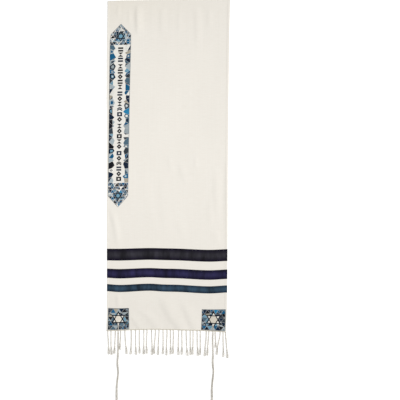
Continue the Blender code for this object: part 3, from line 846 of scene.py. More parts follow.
def clipTo(points, outline):
    for a, b in sidesOf(outline):
        if len(points) < 3:
            return []
        points = clip(points, a, b)
    return points if len(points) > 2 and abs(area(points)) > stitchWork["leastArea"] else []


def centreOf(points):
    return (sum(p[0] for p in points) / len(points), sum(p[1] for p in points) / len(points))


# How near the centre the closest side comes.
def reachOf(points, centre):
    return min([1.0] + [abs(offLine(p, q, centre)) / apart(p, q) for p, q in sidesOf(points)
                        if apart(p, q) > 1e-7])


# Take the sharp corners off.
def blunt(points, cut):
    result = []
    for k, p in enumerate(points):
        for q in (points[k - 1], points[(k + 1) % len(points)]):
            result.append(between(p, q, min(cut / max(apart(p, q), 1e-9), 0.35)))
    return result


def scaled(points, centre, factor):
    return [between(centre, p, factor) for p in points]


def rectangle(left, top, right, bottom):
    return [(left, top), (right, top), (right, bottom), (left, bottom)]


stitchWork = {
    "channel": 0.00050,       # half the pale gap between two pieces
    "corner": 0.0007, "leastReach": 0.0006, "leastArea": 6e-6,
    "profile": ((0.0, 0.00000), (0.0, 0.00022), (0.00035, 0.00040), (0.0010, 0.00048)),
    "raised": ((0.0, 0.00000), (0.0, 0.00055), (0.00035, 0.00080), (0.0010, 0.00092)),
    "layer": 0.00030,         # how much higher a piece lies on another
    "row": 0.010, "eyelet": 0.0034,
    "slants": (0.3, 0.9, 1.5, 2.2, 2.8), "shades": (0.86, 0.28),
    "halved": 0.22, "hearted": 0.50, "leastHalved": 6e-5, "leastHearted": 7e-5,     # chances and areas
    "heart": 0.46, "heartGap": 0.0001,
    "starClear": 0.40, "starPlain": 1.25,     # in star radii: no piece up to the first, no heart to the other
    "edging": (-0.0004, 0.0012),     # its stitches reach from just outside an edge to this far inside
    "edgingPitch": 0.00110, "edgingLean": 0.25, "edgingDip": 0.0007, "edgingRise": 0.00035,
    "edgingRadius": 0.00052,
}
crosswise = 1.5708


def newWork():
    work = bmesh.new()
    work.loops.layers.uv.new("threads")
    work.faces.layers.float.new("shade")
    return work


# One piece of satin stitch: a low pad with rounded rims, flat for now.
def addTile(work, outline, thread, chance, raised=False, base=0.0, gap=stitchWork["channel"],
            direction=None):
    centre = centreOf(outline)
    reach = reachOf(outline, centre)
    if reach < gap + stitchWork["leastReach"]:
        return
    points = scaled(outline, centre, 1 - gap / reach)
    if area(points) < 0:
        points.reverse()
    points = blunt(points, stitchWork["corner"])
    reach -= gap
    uvLayer, shadeLayer = work.loops.layers.uv.active, work.faces.layers.float["shade"]
    angle = chance.choice(stitchWork["slants"]) if direction is None else direction
    shade = stitchWork["shades"][0] + stitchWork["shades"][1] * chance.random()
    rings = []
    for inset, height in stitchWork["raised" if raised else "profile"]:
        ring = scaled(points, centre, 1 - min(inset, 0.75 * reach) / reach)
        rings.append([work.verts.new((*p, base + height)) for p in ring])
    made = []
    for lower, upper in zip(rings, rings[1:]):
        for (a, b), (c, d) in zip(sidesOf(lower), sidesOf(upper)):
            made.append(work.faces.new((a, b, d, c)))
    made.append(work.faces.new(rings[-1]))
    for face in made:
        face.material_index = threadOrder.index(thread)
        face[shadeLayer] = shade
        for loop in face.loops:
            x, y = loop.vert.co.xy
            loop[uvLayer].uv = (x * cos(angle) + y * sin(angle), y * cos(angle) - x * sin(angle))


def addBar(work, outline, thread, chance, direction, base=0.0):
    addTile(work, outline, thread, chance, raised=True, base=base, gap=0.0, direction=direction)


def pickThread(chance, weights, last):
    while True:
        thread = chance.choices(list(weights), list(weights.values()))[0]
        if thread not in last:
            return thread


# A piece parted in two by the line from a to b.
def addHalves(work, outline, a, b, names, chance, **settings):
    for half, name in ((clip(outline, a, b), names[0]), (clip(outline, b, a), names[1])):
        if len(half) > 2:
            addTile(work, half, name, chance, **settings)


# A piece of the patchwork: plain, parted in two or with a smaller piece inside.
def addPatchwork(work, outline, chance, weights, last, plain):
    thread = pickThread(chance, weights, last)
    kind = chance.random()
    if kind < stitchWork["halved"] and abs(area(outline)) > stitchWork["leastHalved"]:
        k = chance.randrange(len(outline))
        a, b, c = (outline[(k + n) % len(outline)] for n in range(3))
        names = (thread, pickThread(chance, weights, (thread,)))
        addHalves(work, outline, a, centreOf([b, c]), names, chance)
    else:
        addTile(work, outline, thread, chance)
        if kind < stitchWork["hearted"] and abs(area(outline)) > stitchWork["leastHearted"] and not plain:
            addTile(work, scaled(outline, centreOf(outline), stitchWork["heart"]),
                    pickThread(chance, weights, (thread,)), chance, base=stitchWork["layer"],
                    gap=stitchWork["heartGap"])
    return thread


# A frame of raised bars: one for each side of the shape.
def addFrame(work, outer, inner, thread, chance):
    for (a, b), (c, d) in zip(sidesOf(outer), sidesOf(inner)):
        addBar(work, [a, b, d, c], thread, chance, atan2(b[1] - a[1], b[0] - a[0]))


# A cell of the side strips: with a heart, parted or plain.
def addCell(work, cell, chance, weights, otherWeights):
    values = neckValues
    centre, gap, layer = centreOf(cell), values["cellGap"], stitchWork["layer"]
    thread = pickThread(chance, weights, ())
    other = pickThread(chance, otherWeights, (thread,))
    kind = chance.random()
    if values["cellHearted"] <= kind < values["cellHalved"]:
        k = chance.randrange(len(cell))
        addHalves(work, cell, cell[k], cell[(k + 2) % len(cell)], (thread, other), chance, gap=gap)
        return
    addTile(work, cell, thread, chance, gap=gap)
    if kind < values["cellHearted"]:
        addTile(work, scaled(cell, centre, values["hearts"][0]), other, chance, base=layer, gap=0.0)
        if chance.random() < values["secondHearts"]:
            addTile(work, scaled(cell, centre, values["hearts"][1]), "pale", chance, base=2 * layer, gap=0.0)


# Mosaic down one side: cells between slanting rungs, with a ragged inner edge.
def addSideStrip(work, side, chance):
    values = neckValues
    start, end = values["capEnds"]
    outside = side * (values["half"] - values["cellRim"])
    shallow, deep = values["cellDepth"]
    count = round((end - start) / values["cellPitch"])
    step = (end - start) / count
    rungs = []
    for k in range(count + 1):
        loose = values["rungLoose"] * step if 0 < k < count else 0.0
        rungs.append((start + k * step + loose * chance.uniform(-1, 1),
                      start + k * step + values["rungInner"] * loose * chance.uniform(-1, 1),
                      outside - side * (shallow + values["cellRagged"][0] * chance.random())))
    for k in range(count):
        (outA, inA, a), (outB, inB, b) = rungs[k], rungs[k + 1]
        cell = [(outside, outA), (outside, outB), (b, inB), (a, inA)]
        if chance.random() < values["peaks"]:
            peak = outside - side * (deep - values["cellRagged"][1] * chance.random())
            cell.insert(3, (peak, inA + chance.uniform(*values["peakAt"]) * (inB - inA)))
        if area(cell) < 0:
            cell.reverse()
        dark = (k % 2 == 0) != (chance.random() < values["oddCells"])
        pair = [values["darkWeights"], values["lightWeights"]]
        addCell(work, cell, chance, *(pair if dark else pair[::-1]))


# shares of a motif's height, of its size and of its bar
motifShares = {
    "lozengeTall": 1.25, "lozengeHole": 0.30, "frameBar": 0.8,
    "chevronLeast": 0.5, "chevronTaken": 1.75, "chevronDrop": 0.95, "chevronBar": 0.7,
}


# One small shape of the chain down the middle, as tall and wide as half says.
def addMotif(work, kind, middle, half, bar, thread, chance):
    x, y = middle
    (wide, tall), shares = half, motifShares
    box = rectangle(x - wide, y - tall, x + wide, y + tall)
    if kind == "lozenge":
        peak = shares["lozengeTall"] * tall
        outer = [(x, y - peak), (x + wide, y), (x, y + peak), (x - wide, y)]
        addFrame(work, outer, scaled(outer, middle, shares["lozengeHole"]), thread, chance)
    elif kind == "bars":
        for top, bottom in ((-tall, bar - tall), (tall - bar, tall)):
            addBar(work, rectangle(x - wide, y + top, x + wide, y + bottom), thread, chance, crosswise)
    elif kind == "hourglass":
        waist = 0.0004
        addBar(work, [box[0], box[1], (x, y - waist)], thread, chance, crosswise)
        addBar(work, [(x, y + waist), box[2], box[3]], thread, chance, crosswise)
    elif kind == "frame":
        thin = shares["frameBar"] * bar
        inner = rectangle(x - wide + bar, y - tall + thin, x + wide - bar, y + tall - thin)
        addFrame(work, box, inner, thread, chance)
    else:
        rise = max(shares["chevronLeast"] * bar, 2 * tall - shares["chevronTaken"] * bar)
        thin = shares["chevronBar"] * bar
        for left, right in ((-wide, 0.0), (0.0, wide)):
            a, b = (rise - tall if edge else -tall for edge in (left, right))
            for drop in (0.0, shares["chevronDrop"] * bar):
                slant = [(x + left, y + a + drop), (x + right, y + b + drop),
                         (x + right, y + b + drop + thin), (x + left, y + a + drop + thin)]
                addBar(work, slant, thread, chance, atan2(b - a, right - left))


# Rows of triangles laid over an outline and cut off at its edges.
def addLattice(work, outline, values, chance, fromStar):
    base, jitter = values["base"], values["jitter"]
    (lowA, highA), (lowB, highB) = ((min(line), max(line)) for line in zip(*outline))
    rows = max(1, round((highB - lowB) / values["row"]))
    columns = ceil((highA - lowA) / base) + 2
    knots = []
    for i in range(rows + 1):
        knots.append([])
        for j in range(columns + 1):
            a = lowA + (j - 1 + 0.5 * (i % 2)) * base + jitter * (chance.random() - 0.5)
            b = lowB + i * (highB - lowB) / rows + jitter * (chance.random() - 0.5) * (0 < i < rows)
            knots[i].append((a, b))
    last = ("", "")
    for i in range(rows):
        upper, lower = knots[i], knots[i + 1]
        for j in range(columns):
            if i % 2 == 0:
                pair = [(upper[j], upper[j + 1], lower[j]), (upper[j + 1], lower[j + 1], lower[j])]
            else:
                pair = [(upper[j], lower[j + 1], lower[j]), (upper[j], upper[j + 1], lower[j + 1])]
            for triangle in pair:
                piece = clipTo(list(triangle), outline)
                away = fromStar(centreOf(piece)) if piece else 0
                if away > stitchWork["starClear"]:
                    last = (last[1], addPatchwork(work, piece, chance, values["weights"], last[1:],
                                                  away < stitchWork["starPlain"]))


starValues = {
    "tuck": 0.0006,           # filled pieces reach under the bars
    "pointBase": 0.00022, "pointGap": 0.0002, "fillBase": 0.00026, "fillGap": 0.0001,
    "halo": 0.0011, "haloBase": 0.00020, "crossing": 0.00018,
}


# Two crossing triangles of raised bars, with a filled middle and six filled points.
def addStar(work, centre, radius, bar, chance, barThread, fillThread, pointThread, haloThread):
    def spoke(distance, turn):
        return (centre[0] + distance * cos(radians(turn)), centre[1] + distance * sin(radians(turn)))

    values = starValues
    half = degrees(atan((radius / 2 - 2 * bar) / sqrt(3) / (radius / 2)))
    span = radius / 2 / cos(radians(half))
    for turn in range(30, 390, 60):
        point = [spoke(radius - 2 * bar + values["tuck"], turn), spoke(span, turn + half),
                 spoke(span, turn - half)]
        addTile(work, point, pointThread, chance, base=values["pointBase"], gap=values["pointGap"])
    hexagon = [spoke((radius - 2 * bar) / sqrt(3) + values["tuck"], 60 * k) for k in range(6)]
    addTile(work, hexagon, fillThread, chance, base=values["fillBase"], gap=values["fillGap"],
            direction=crosswise)
    for turn, base in ((90, 0.0), (270, values["crossing"])):
        within = [spoke(radius - 2 * bar, turn + 120 * k) for k in range(3)]
        for halo in (values["halo"], 0.0):
            outer = [spoke(radius + 2 * halo, turn + 120 * k) for k in range(3)]
            for (a, b), (c, d) in zip(sidesOf(outer), sidesOf(within)):
                middle = centreOf([a, b, d, c])
                angle = atan2(middle[1] - centre[1], middle[0] - centre[0])
                if halo:
                    addTile(work, [a, b, d, c], haloThread, chance, base=values["haloBase"] + base / 3,
                            gap=0.0, direction=angle)
                else:
                    addBar(work, [a, b, d, c], barThread, chance, angle + pi / 2, base)


# Carry flat stitch work onto the cloth: it is parted along the folds that it has to follow.
def drape(work, placeOn, lift, name, eyeletX=None):
    for vert in work.verts:
        vert.co.xy = placeOn(*vert.co.xy)
    belows = [v.co.y for v in work.verts]
    cuts = [((0, below, 0), (0, 1, 0)) for below in spread(min(belows), max(belows), stitchWork["row"])[1:-1]]
    if eyeletX:
        cuts += [((eyeletX + k * cordRidge["half"] * 0.5, 0, 0), (1, 0, 0)) for k in (-2, -1, 0, 1, 2)]
    for point, normal in cuts:
        bmesh.ops.bisect_plane(work, geom=work.verts[:] + work.edges[:] + work.faces[:], dist=1e-6,
                               plane_co=point, plane_no=normal)
    if eyeletX:
        cutRound(work, Vector((eyeletX, eyeletBelow, 0)), stitchWork["eyelet"])
    for vert in work.verts:
        vert.co = frontPoint(vert.co.x, vert.co.y, lift + vert.co.z)
    bmesh.ops.recalc_face_normals(work, faces=work.faces[:])
    mesh = bpy.data.meshes.new(name)
    work.to_mesh(mesh)
    work.free()
    return newPiece(name, mesh, threadOrder, angle=55)


# Part flat stitch work round a hole and take out what lies in it.
def cutRound(work, middle, radius):
    def fromMiddle(face):
        return Vector((*face.calc_center_median().xy, 0)) - middle

    sides = [Vector((cos(radians(30 * k)), sin(radians(30 * k)), 0)) for k in range(12)]
    for side in sides:
        near = [face for face in work.faces if fromMiddle(face).length < 0.02]
        parts = set(near)
        for face in near:
            parts.update(face.verts)
            parts.update(face.edges)
        bmesh.ops.bisect_plane(work, geom=list(parts), dist=1e-6, plane_co=middle + side * radius,
                               plane_no=side)
    gone = [face for face in work.faces if all(fromMiddle(face).dot(side) < radius for side in sides)]
    bmesh.ops.delete(work, geom=gone, context="FACES")


# Close stitches laid over an edge, side by side all the way round.
def makeEdging(name, outline, placeOn, lift):
    shape = newShape()
    centre = centreOf(outline)
    pitch, lean = stitchWork["edgingPitch"], stitchWork["edgingLean"] * stitchWork["edgingPitch"]
    for p, q in sidesOf(outline):
        length = apart(p, q)
        ahead = ((q[0] - p[0]) / length, (q[1] - p[1]) / length)
        inward = (-ahead[1], ahead[0])
        if (centre[0] - p[0]) * inward[0] + (centre[1] - p[1]) * inward[1] < 0:
            inward = (ahead[1], -ahead[0])
        count = max(1, round(length / pitch))
        for k in range(count):
            a, b = between(p, q, (k + 0.5) / count)
            ends = []
            for depth, slide in zip(stitchWork["edging"], (-lean, lean)):
                x, below = placeOn(a + inward[0] * depth + slide * ahead[0],
                                   b + inward[1] * depth + slide * ahead[1])
                ends.append(frontPoint(x, below, lift))
            ends[0].z -= stitchWork["edgingDip"]
            stitch(shape, ends[0], ends[1], stitchWork["edgingRise"], stitchWork["edgingRadius"])
    return newPiece(name, shape, ["steelCord"])


# below, left, right
neckRows = [
    (0.1070, -0.2183, -0.2163), (0.1543, -0.2633, -0.1721), (0.1843, -0.2677, -0.1723),
    (0.4685, -0.2718, -0.1788), (0.8946, -0.2768, -0.1860), (0.9460, -0.2329, -0.2309),
]
neckValues = {
    "half": 0.0470, "length": 0.8390, "shoulders": (0.0473, 0.7876), "margin": 0.0012, "seed": 41,
    "bottom": 0.00145, "top": 0.00205, "rim": 0.0008, "columns": 14, "rowStep": 0.008,
    "capEnds": (0.096, 0.727), "row": 0.0150, "base": 0.0200, "jitter": 0.004,
    "stars": ((0.0563, 0.0236), (0.7860, 0.0230)), "starBar": 0.0034,
    "cellPitch": 0.0225, "cellRim": 0.0011, "cellDepth": (0.0150, 0.0285), "cellGap": 0.00032,
    "cellRagged": (0.0055, 0.0050), "rungLoose": 0.34, "rungInner": 1.2, "peaks": 0.7,
    "peakAt": (0.3, 0.7), "oddCells": 0.18, "cellHearted": 0.38, "cellHalved": 0.80,
    "hearts": (0.50, 0.24), "secondHearts": 0.4,
    "chainStart": 0.107, "chainEnd": 0.719, "chainMiddle": 0.0022,
    "kinds": ("lozenge", "bars", "hourglass", "frame", "chevrons"),
    "motifHalf": 0.0114, "motifBar": 0.0072, "motifGap": 0.0044, "groupGap": 0.0110,
    "groups": (3, 5, 6, 5, 6),
    "weights": {"navy": 26, "ink": 13, "blue": 22, "azure": 6, "sky": 11, "steel": 12, "slate": 8,
                "silver": 13, "pale": 6},
    "darkWeights": {"navy": 40, "ink": 17, "blue": 26, "azure": 5, "steel": 6, "slate": 8},
    "lightWeights": {"silver": 34, "sky": 18, "steel": 18, "pale": 17, "slate": 5, "sand": 4, "blue": 6},
}


def neckEdges(below):
    k = max(i for i in range(len(neckRows) - 1) if neckRows[i][0] <= below or i == 0)
    t = (below - neckRows[k][0]) / (neckRows[k + 1][0] - neckRows[k][0])
    return [(1 - t) * neckRows[k][column] + t * neckRows[k + 1][column] for column in (1, 2)]


def onNeckband(a, b):
    below = neckRows[0][0] + b
    left, right = neckEdges(below)
    wideLeft, wideRight = neckEdges(min(max(below, neckRows[1][0]), neckRows[-2][0]))
    return (left + right) / 2 + a / neckValues["half"] * ((wideRight - wideLeft) / 2), below


# A chain of small open shapes down the middle, in groups.
def addChain(work, chance):
    values = neckValues
    gap, groups = values["motifGap"], values["groups"]
    free = values["chainEnd"] - values["chainStart"] - (len(groups) - 1) * (values["groupGap"] - gap)
    pitch = (free + gap) / sum(groups)
    half = (values["motifHalf"], (pitch - gap) / 2)
    b = values["chainStart"] + (pitch - gap) / 2
    kind = ""
    for number in groups:
        for k in range(number):
            kind = chance.choice([name for name in values["kinds"] if name != kind])
            addMotif(work, kind, (values["chainMiddle"], b), half, values["motifBar"],
                     "navy" if chance.random() < 0.3 else "ink", chance)
            b += pitch
        b += values["groupGap"] - gap


def makeNeckband():
    values = neckValues
    half, length, (upper, lower) = values["half"], values["length"], values["shoulders"]
    rows = edged(neckRows[0][0], neckRows[-1][0], values["rowStep"], values["rim"])
    rows = sorted(rows + [neckRows[1][0], neckRows[-2][0]])

    def columnsAt(below):
        left, right = neckEdges(below)
        rim = min(values["rim"], 0.2 * (right - left))
        return rimmed(left, right, rim, [left + rim + (right - left - 2 * rim) * k / values["columns"]
                                         for k in range(values["columns"] + 1)])

    ground = newPiece("neckbandGround", gridPanel(rows, columnsAt, values), ["neckbandGround"],
                      ["neckband"])

    def pointed(m):
        return [(0, m), (half - m, upper + m / 2), (half - m, lower - m / 2), (0, length - m),
                (m - half, lower - m / 2), (m - half, upper + m / 2)]

    chance = random.Random(values["seed"])
    stars = [((0, b), radius) for b, radius in values["stars"]]
    work = newWork()
    for start, end in ((0.0, values["capEnds"][0]), (values["capEnds"][1], length)):
        cap = clipTo(rectangle(-half, start, half, end), pointed(values["margin"]))
        addLattice(work, cap, values, chance, lambda point: min(apart(c, point) / r for c, r in stars))
    for side in (-1, 1):
        addSideStrip(work, side, chance)
    tiles = drape(work, onNeckband, values["top"], "neckbandTiles")
    work = newWork()
    for centre, radius in stars:
        addStar(work, centre, radius, values["starBar"], chance, "ink", "sky", "silver", "steel")
    starPiece = drape(work, onNeckband, values["top"], "neckbandStars")
    work = newWork()
    addChain(work, chance)
    chain = drape(work, onNeckband, values["top"], "neckbandChain")
    edging = makeEdging("neckbandEdging", pointed(0), onNeckband, values["top"])
    return ground, [tiles, starPiece, chain, edging]


neckbandGround, neckbandWork = makeNeckband()
print("neckband:", len(neckbandWork), "pieces of stitch work")


patchValues = {
    "bottom": 0.00145, "top": 0.00200, "rim": 0.0008, "columnStep": 0.0042, "rowStep": 0.0042,
    "row": 0.0185, "base": 0.0250, "jitter": 0.0050, "margin": 0.0012, "aboveHem": 0.0004,
    "starBar": 0.0037, "rayBar": 0.0030, "rayTuck": 0.004,
    "rays": ((30, 0.020), (150, 0.020), (210, 0.026), (330, 0.026), (90, 0.016)),   # direction, length
    "weights": {"navy": 33, "ink": 21, "blue": 15, "azure": 2, "sky": 8, "steel": 13, "slate": 12,
                "silver": 11, "pale": 3, "sand": 3},
    "rimStitches": 24, "rimReach": (0.0028, 0.0052), "rimLift": 0.0003, "rimDip": 0.0008,
    "rimRise": 0.00045, "rimThread": 0.00042,
}


# Dark bars that run out from the star's points.
def addRays(work, middle, radius, outline, chance):
    for turn, length in patchValues["rays"]:
        angle, half = radians(turn), patchValues["rayBar"] / 2
        aside = (-sin(angle) * half, cos(angle) * half)
        near, far = ((middle[0] + cos(angle) * d, middle[1] + sin(angle) * d)
                     for d in (radius - patchValues["rayTuck"], radius + length))
        ray = [(end[0] + sign * aside[0], end[1] + sign * aside[1])
               for end, sign in ((near, -1), (far, -1), (far, 1), (near, 1))]
        piece = clipTo(ray, outline)
        if piece:
            addTile(work, piece, "ink", chance, base=stitchWork["layer"], gap=0.0, direction=angle)


def makeEyeletRim(name, eyeletX, lift):
    values, shape = patchValues, newShape()
    for k in range(values["rimStitches"]):
        angle = 2 * pi * k / values["rimStitches"]
        start, end = (frontPoint(eyeletX + r * cos(angle), eyeletBelow + r * sin(angle), lift)
                      for r in values["rimReach"])
        start.z -= values["rimDip"]
        stitch(shape, start, end, values["rimRise"], values["rimThread"])
    return newPiece(name, shape, ["sewingThread"])


def makePatch(side):
    values, corner = patchValues, corners[side]
    eyeletX, top = corner["eyelet"], values["top"]
    shares = [shareOf(corner[key], lay["frontLength"]) for key in ("left", "right")]
    bottomBelow = clothEnd - values["aboveHem"]
    width, height = corner["right"] - corner["left"], bottomBelow - patchTop
    counts = [ceil(abs(eyeletX - corner[key]) / values["columnStep"]) for key in ("left", "right")]

    def onPatch(a, b):
        left = across(shares[0], patchTop + b)
        x = across(shares[0] + a / width * (shares[1] - shares[0]), patchTop + b)
        return left + (x - left) * (1 - corner["lean"] * (1 - b / height)), patchTop + b

    def columnsAt(below):
        left, right = (onPatch(a, below - patchTop)[0] for a in (0, width))
        rim = values["rim"]
        inner = [left + rim + (eyeletX - left - rim) * k / counts[0] for k in range(counts[0])]
        inner += [eyeletX + (right - rim - eyeletX) * k / counts[1] for k in range(counts[1] + 1)]
        return rimmed(left, right, rim, inner)

    rows = edged(patchTop, bottomBelow, values["rowStep"], values["rim"])
    ground = newPiece(side + "PatchGround", gridPanel(rows, columnsAt, values), ["patchGround"],
                      ["corner_patch_" + side])
    cutEyelets(ground, cutters)

    chance = random.Random(corner["seed"])
    m = values["margin"]
    outline = rectangle(m, m, width - m, height - m)
    middle, radius = (corner["star"][0] - corner["left"], corner["star"][1] - patchTop), corner["starRadius"]
    work = newWork()
    addLattice(work, outline, values, chance, lambda point: apart(middle, point) / radius)
    tiles = drape(work, onPatch, top, side + "PatchTiles", eyeletX)
    work = newWork()
    addRays(work, middle, radius, outline, chance)
    addStar(work, middle, radius, values["starBar"], chance, "ink", "cream", "pale", "navy")
    star = drape(work, onPatch, top, side + "PatchStar", eyeletX)
    edging = makeEdging(side + "PatchEdging", rectangle(0, 0, width, height), onPatch, top)
    rim = makeEyeletRim(side + "EyeletRim", eyeletX, top + values["rimLift"])
    return ground, [tiles, star, edging, rim]


leftPatchGround, leftPatchWork = makePatch("left")
rightPatchGround, rightPatchWork = makePatch("right")
for cutter in cutters:
    bpy.data.objects.remove(cutter)
print("corner patches:", len(leftPatchWork) + len(rightPatchWork), "pieces of stitch work")


hemValues = {
    "lineIn": (0.0062, -0.0110),      # stitch lines, in from the left and right edges
    "lineStart": 0.012, "lineEnd": 0.020,
    "pitch": 0.0042, "share": 0.66, "rise": 0.00016, "radius": 0.00024, "seed": 21, "tuckSeed": 25,
    "tuckBelow": 1.3362, "tuckIn": 0.004,      # a line of stitches just under the last band
    "rollWidth": 0.0024, "rollHeight": 0.00115, "rollLift": 0.0003, "rollSides": 12, "rollStep": 0.004,
    "rollWander": 0.00025, "wanderRate": 60, "rollTaper": 0.0015, "rollTip": 0.35, "rollMap": 0.004,
    "overcast": 0.0052, "overcastIn": 0.003, "overcastSlant": 0.0016, "overcastClear": 0.0001,
    "overcastTurns": (200, 160, 120, 90, 60, 20, -20), "overcastRadius": 0.00024,
}


def makeHems():
    values = hemValues
    wide, high = values["rollWidth"], values["rollHeight"]
    lines = newShape()
    for side, inset in enumerate(values["lineIn"]):
        def along(d):
            below = values["lineStart"] + d
            return frontPoint(edgesAt(below)[side] + inset, below, lay["wall"])

        stitchLine(lines, along, clothEnd - values["lineEnd"], values, values["seed"] + side)
    tuck = values["tuckBelow"]
    left, right = edgesAt(tuck)
    stitchLine(lines, lambda d: frontPoint(left + values["tuckIn"] + d, tuck, lay["wall"]),
               right - left - 2 * values["tuckIn"], values, values["tuckSeed"])
    lines = newPiece("hemStitches", lines, ["sewingThread"])

    # the rolled hem, a soft bead across the end of the cloth, in silk darkened with painted shade
    roll, over = newShape(), newShape()
    below = lay["frontLength"] - wide
    left, right = edgesAt(lay["frontLength"])
    stops = spread(left, right, values["rollStep"])
    for x in stops:
        deep = wide + values["rollWander"] * noise.noise(Vector((x * values["wanderRate"], 5, 2)))
        middle = frontPoint(x, below, values["rollLift"] + high, onHem=False)
        ends = min((x - left) / values["rollTaper"], (right - x) / values["rollTaper"], 1)
        size = values["rollTip"] + (1 - values["rollTip"]) * sqrt(max(0.0, 1 - (1 - ends) ** 2))
        for n in range(values["rollSides"]):
            angle = 2 * pi * n / values["rollSides"]
            roll["points"].append(middle + Vector((0, deep * size * cos(angle), high * size * sin(angle))))
            roll["uvs"].append((x, values["rollMap"] * n / values["rollSides"]))
    tubeFaces(roll["faces"], 0, len(stops), values["rollSides"], flip=True)
    roll = newPiece("hemRoll", roll, ["hemSilkShaded"])
    wide, high = wide + values["overcastClear"], high + values["overcastClear"]
    for x in spread(left + values["overcastIn"], right - values["overcastIn"], values["overcast"]):
        middle = frontPoint(x, below, values["rollLift"] + values["rollHeight"], onHem=False)
        path = [middle + Vector((values["overcastSlant"] * cos(angle), -wide * cos(angle), high * sin(angle)))
                for angle in map(radians, values["overcastTurns"])]
        sweep(over, path, values["overcastRadius"], 4)
    return lines, roll, newPiece("hemOvercast", over, ["sewingThread"])


hemStitches, hemRoll, hemOvercast = makeHems()
print("hems sewn")


# root x, tip x, drop
strandRows = [
    (-0.2768, -0.2720, 0.108), (-0.2624, -0.2612, 0.110), (-0.2425, -0.2475, 0.106),
    (-0.2180, -0.2215, 0.088), (-0.1990, -0.1930, 0.108), (-0.1699, -0.1717, 0.112),
    (-0.1503, -0.1484, 0.114), (-0.1329, -0.1338, 0.109), (-0.1129, -0.1129, 0.115),
    (-0.0983, -0.1015, 0.111), (-0.0773, -0.0755, 0.117), (-0.0600, -0.0665, 0.112),
    (-0.0435, -0.0490, 0.116), (-0.0253, -0.0253, 0.113), (-0.0071, -0.0098, 0.118),
    (0.0085, 0.0082, 0.114), (0.0217, 0.0205, 0.110), (0.0463, 0.0431, 0.116),
    (0.0604, 0.0604, 0.113), (0.0800, 0.0850, 0.118), (0.0990, 0.0980, 0.114),
    (0.1115, 0.1100, 0.111), (0.1297, 0.1329, 0.117), (0.1448, 0.1430, 0.112),
    (0.1715, 0.1650, 0.116), (0.1835, 0.1755, 0.113), (0.2120, 0.2150, 0.076),
    (0.2345, 0.2190, 0.105), (0.2480, 0.2487, 0.116), (0.2595, 0.2685, 0.120),
]
fringeValues = {
    "radius": 0.00295, "ply": 0.00160, "pitch": 0.0100, "sway": 0.0012, "floor": 0.0004, "seed": 19,
    "lift": 0.0002, "rootRise": 0.0004,
    "knotAt": 0.66, "knotLoose": 0.03, "knotBelow": 0.012, "knotTurns": 2, "knotSteps": 26,
    "knotRadius": 0.0026, "knotFlat": 0.82, "knotRipple": 0.0002, "knotTall": 0.0030,
    "knotTilt": 0.0006, "knotLift": 0.0004, "knotCord": 0.00105,
    "bulge": ((0.0026, 0.0012), (0, 0.0021), (-0.0026, 0.0012)),     # how far up, radius
    "tuftThreads": 18, "tuftTurn": 2.4, "tuftRadius": 0.00040, "tuftRim": 0.0029, "tuftPoints": 8,
    "tuftSpread": (1.0, 0.9), "tuftLean": 0.0022, "tuftShort": (0.02, 0.03), "tuftStart": 0.03,
    "tuftOpen": (0.55, 0.95, 0.62), "tuftFlat": 0.7, "tuftWave": (0.0005, 9, 2.1),
    "tuftDrop": (0.0003, 0.0006), "tuftTip": 0.5,
}


# A short thick core; each row gives how far up the cord it is and its radius.
def addBulge(shape, middle, bulge, sides, flat=1.0):
    sweep(shape, [middle + Vector((0, y, 0)) for y, _ in bulge], [radius for _, radius in bulge], sides, flat)


# An overhand knot: two tight turns over the cord, and a bulge where they cross.
def addFringeKnot(shape, middle):
    values, loop = fringeValues, []
    for k in range(values["knotSteps"] + 1):
        share = k / values["knotSteps"]
        turn = 2 * pi * values["knotTurns"] * share
        r = values["knotRadius"] + values["knotRipple"] * sin(3 * turn)
        y = values["knotTall"] * (share - 0.5) + values["knotTilt"] * sin(turn)
        z = values["knotFlat"] * r * sin(turn) + values["knotLift"]
        loop.append(middle + Vector((r * cos(turn), y, z)))
    sweep(shape, loop, values["knotCord"], 6)
    addBulge(shape, middle, values["bulge"], 8)


# Loose ends below the knot; centre gives the cord's middle line.
def addTuft(shape, centre, knot, chance):
    values = fringeValues
    (narrow, bell, bellRate), (wave, waveRate, waveTurn) = values["tuftOpen"], values["tuftWave"]
    (sink, drop), last = values["tuftDrop"], values["tuftPoints"] - 1
    for n in range(values["tuftThreads"]):
        angle = values["tuftTurn"] * n
        rim = values["tuftRim"] * sqrt((n + 0.5) / values["tuftThreads"])
        spreadOut = values["tuftSpread"][0] + values["tuftSpread"][1] * chance.random()
        lean = values["tuftLean"] * (chance.random() - 0.5)
        length = 1 - knot - values["tuftShort"][0] - values["tuftShort"][1] * chance.random()
        thread = []
        for k in range(last + 1):
            t = k / last
            c = centre(knot + values["tuftStart"] + (length - 0.01) * t)
            out = rim * (spreadOut * (narrow + bell * sin(pi * min(t * bellRate, 1))))
            x = c.x + out * cos(angle) + lean * t + wave * sin(waveRate * t + waveTurn * n)
            z = c.z - sink + out * values["tuftFlat"] * sin(angle) - drop * t
            thread.append(Vector((x, c.y, max(values["floor"] + sink, z))))
        radius = values["tuftRadius"]
        sweep(shape, thread, [radius] * last + [radius * values["tuftTip"]], 3)


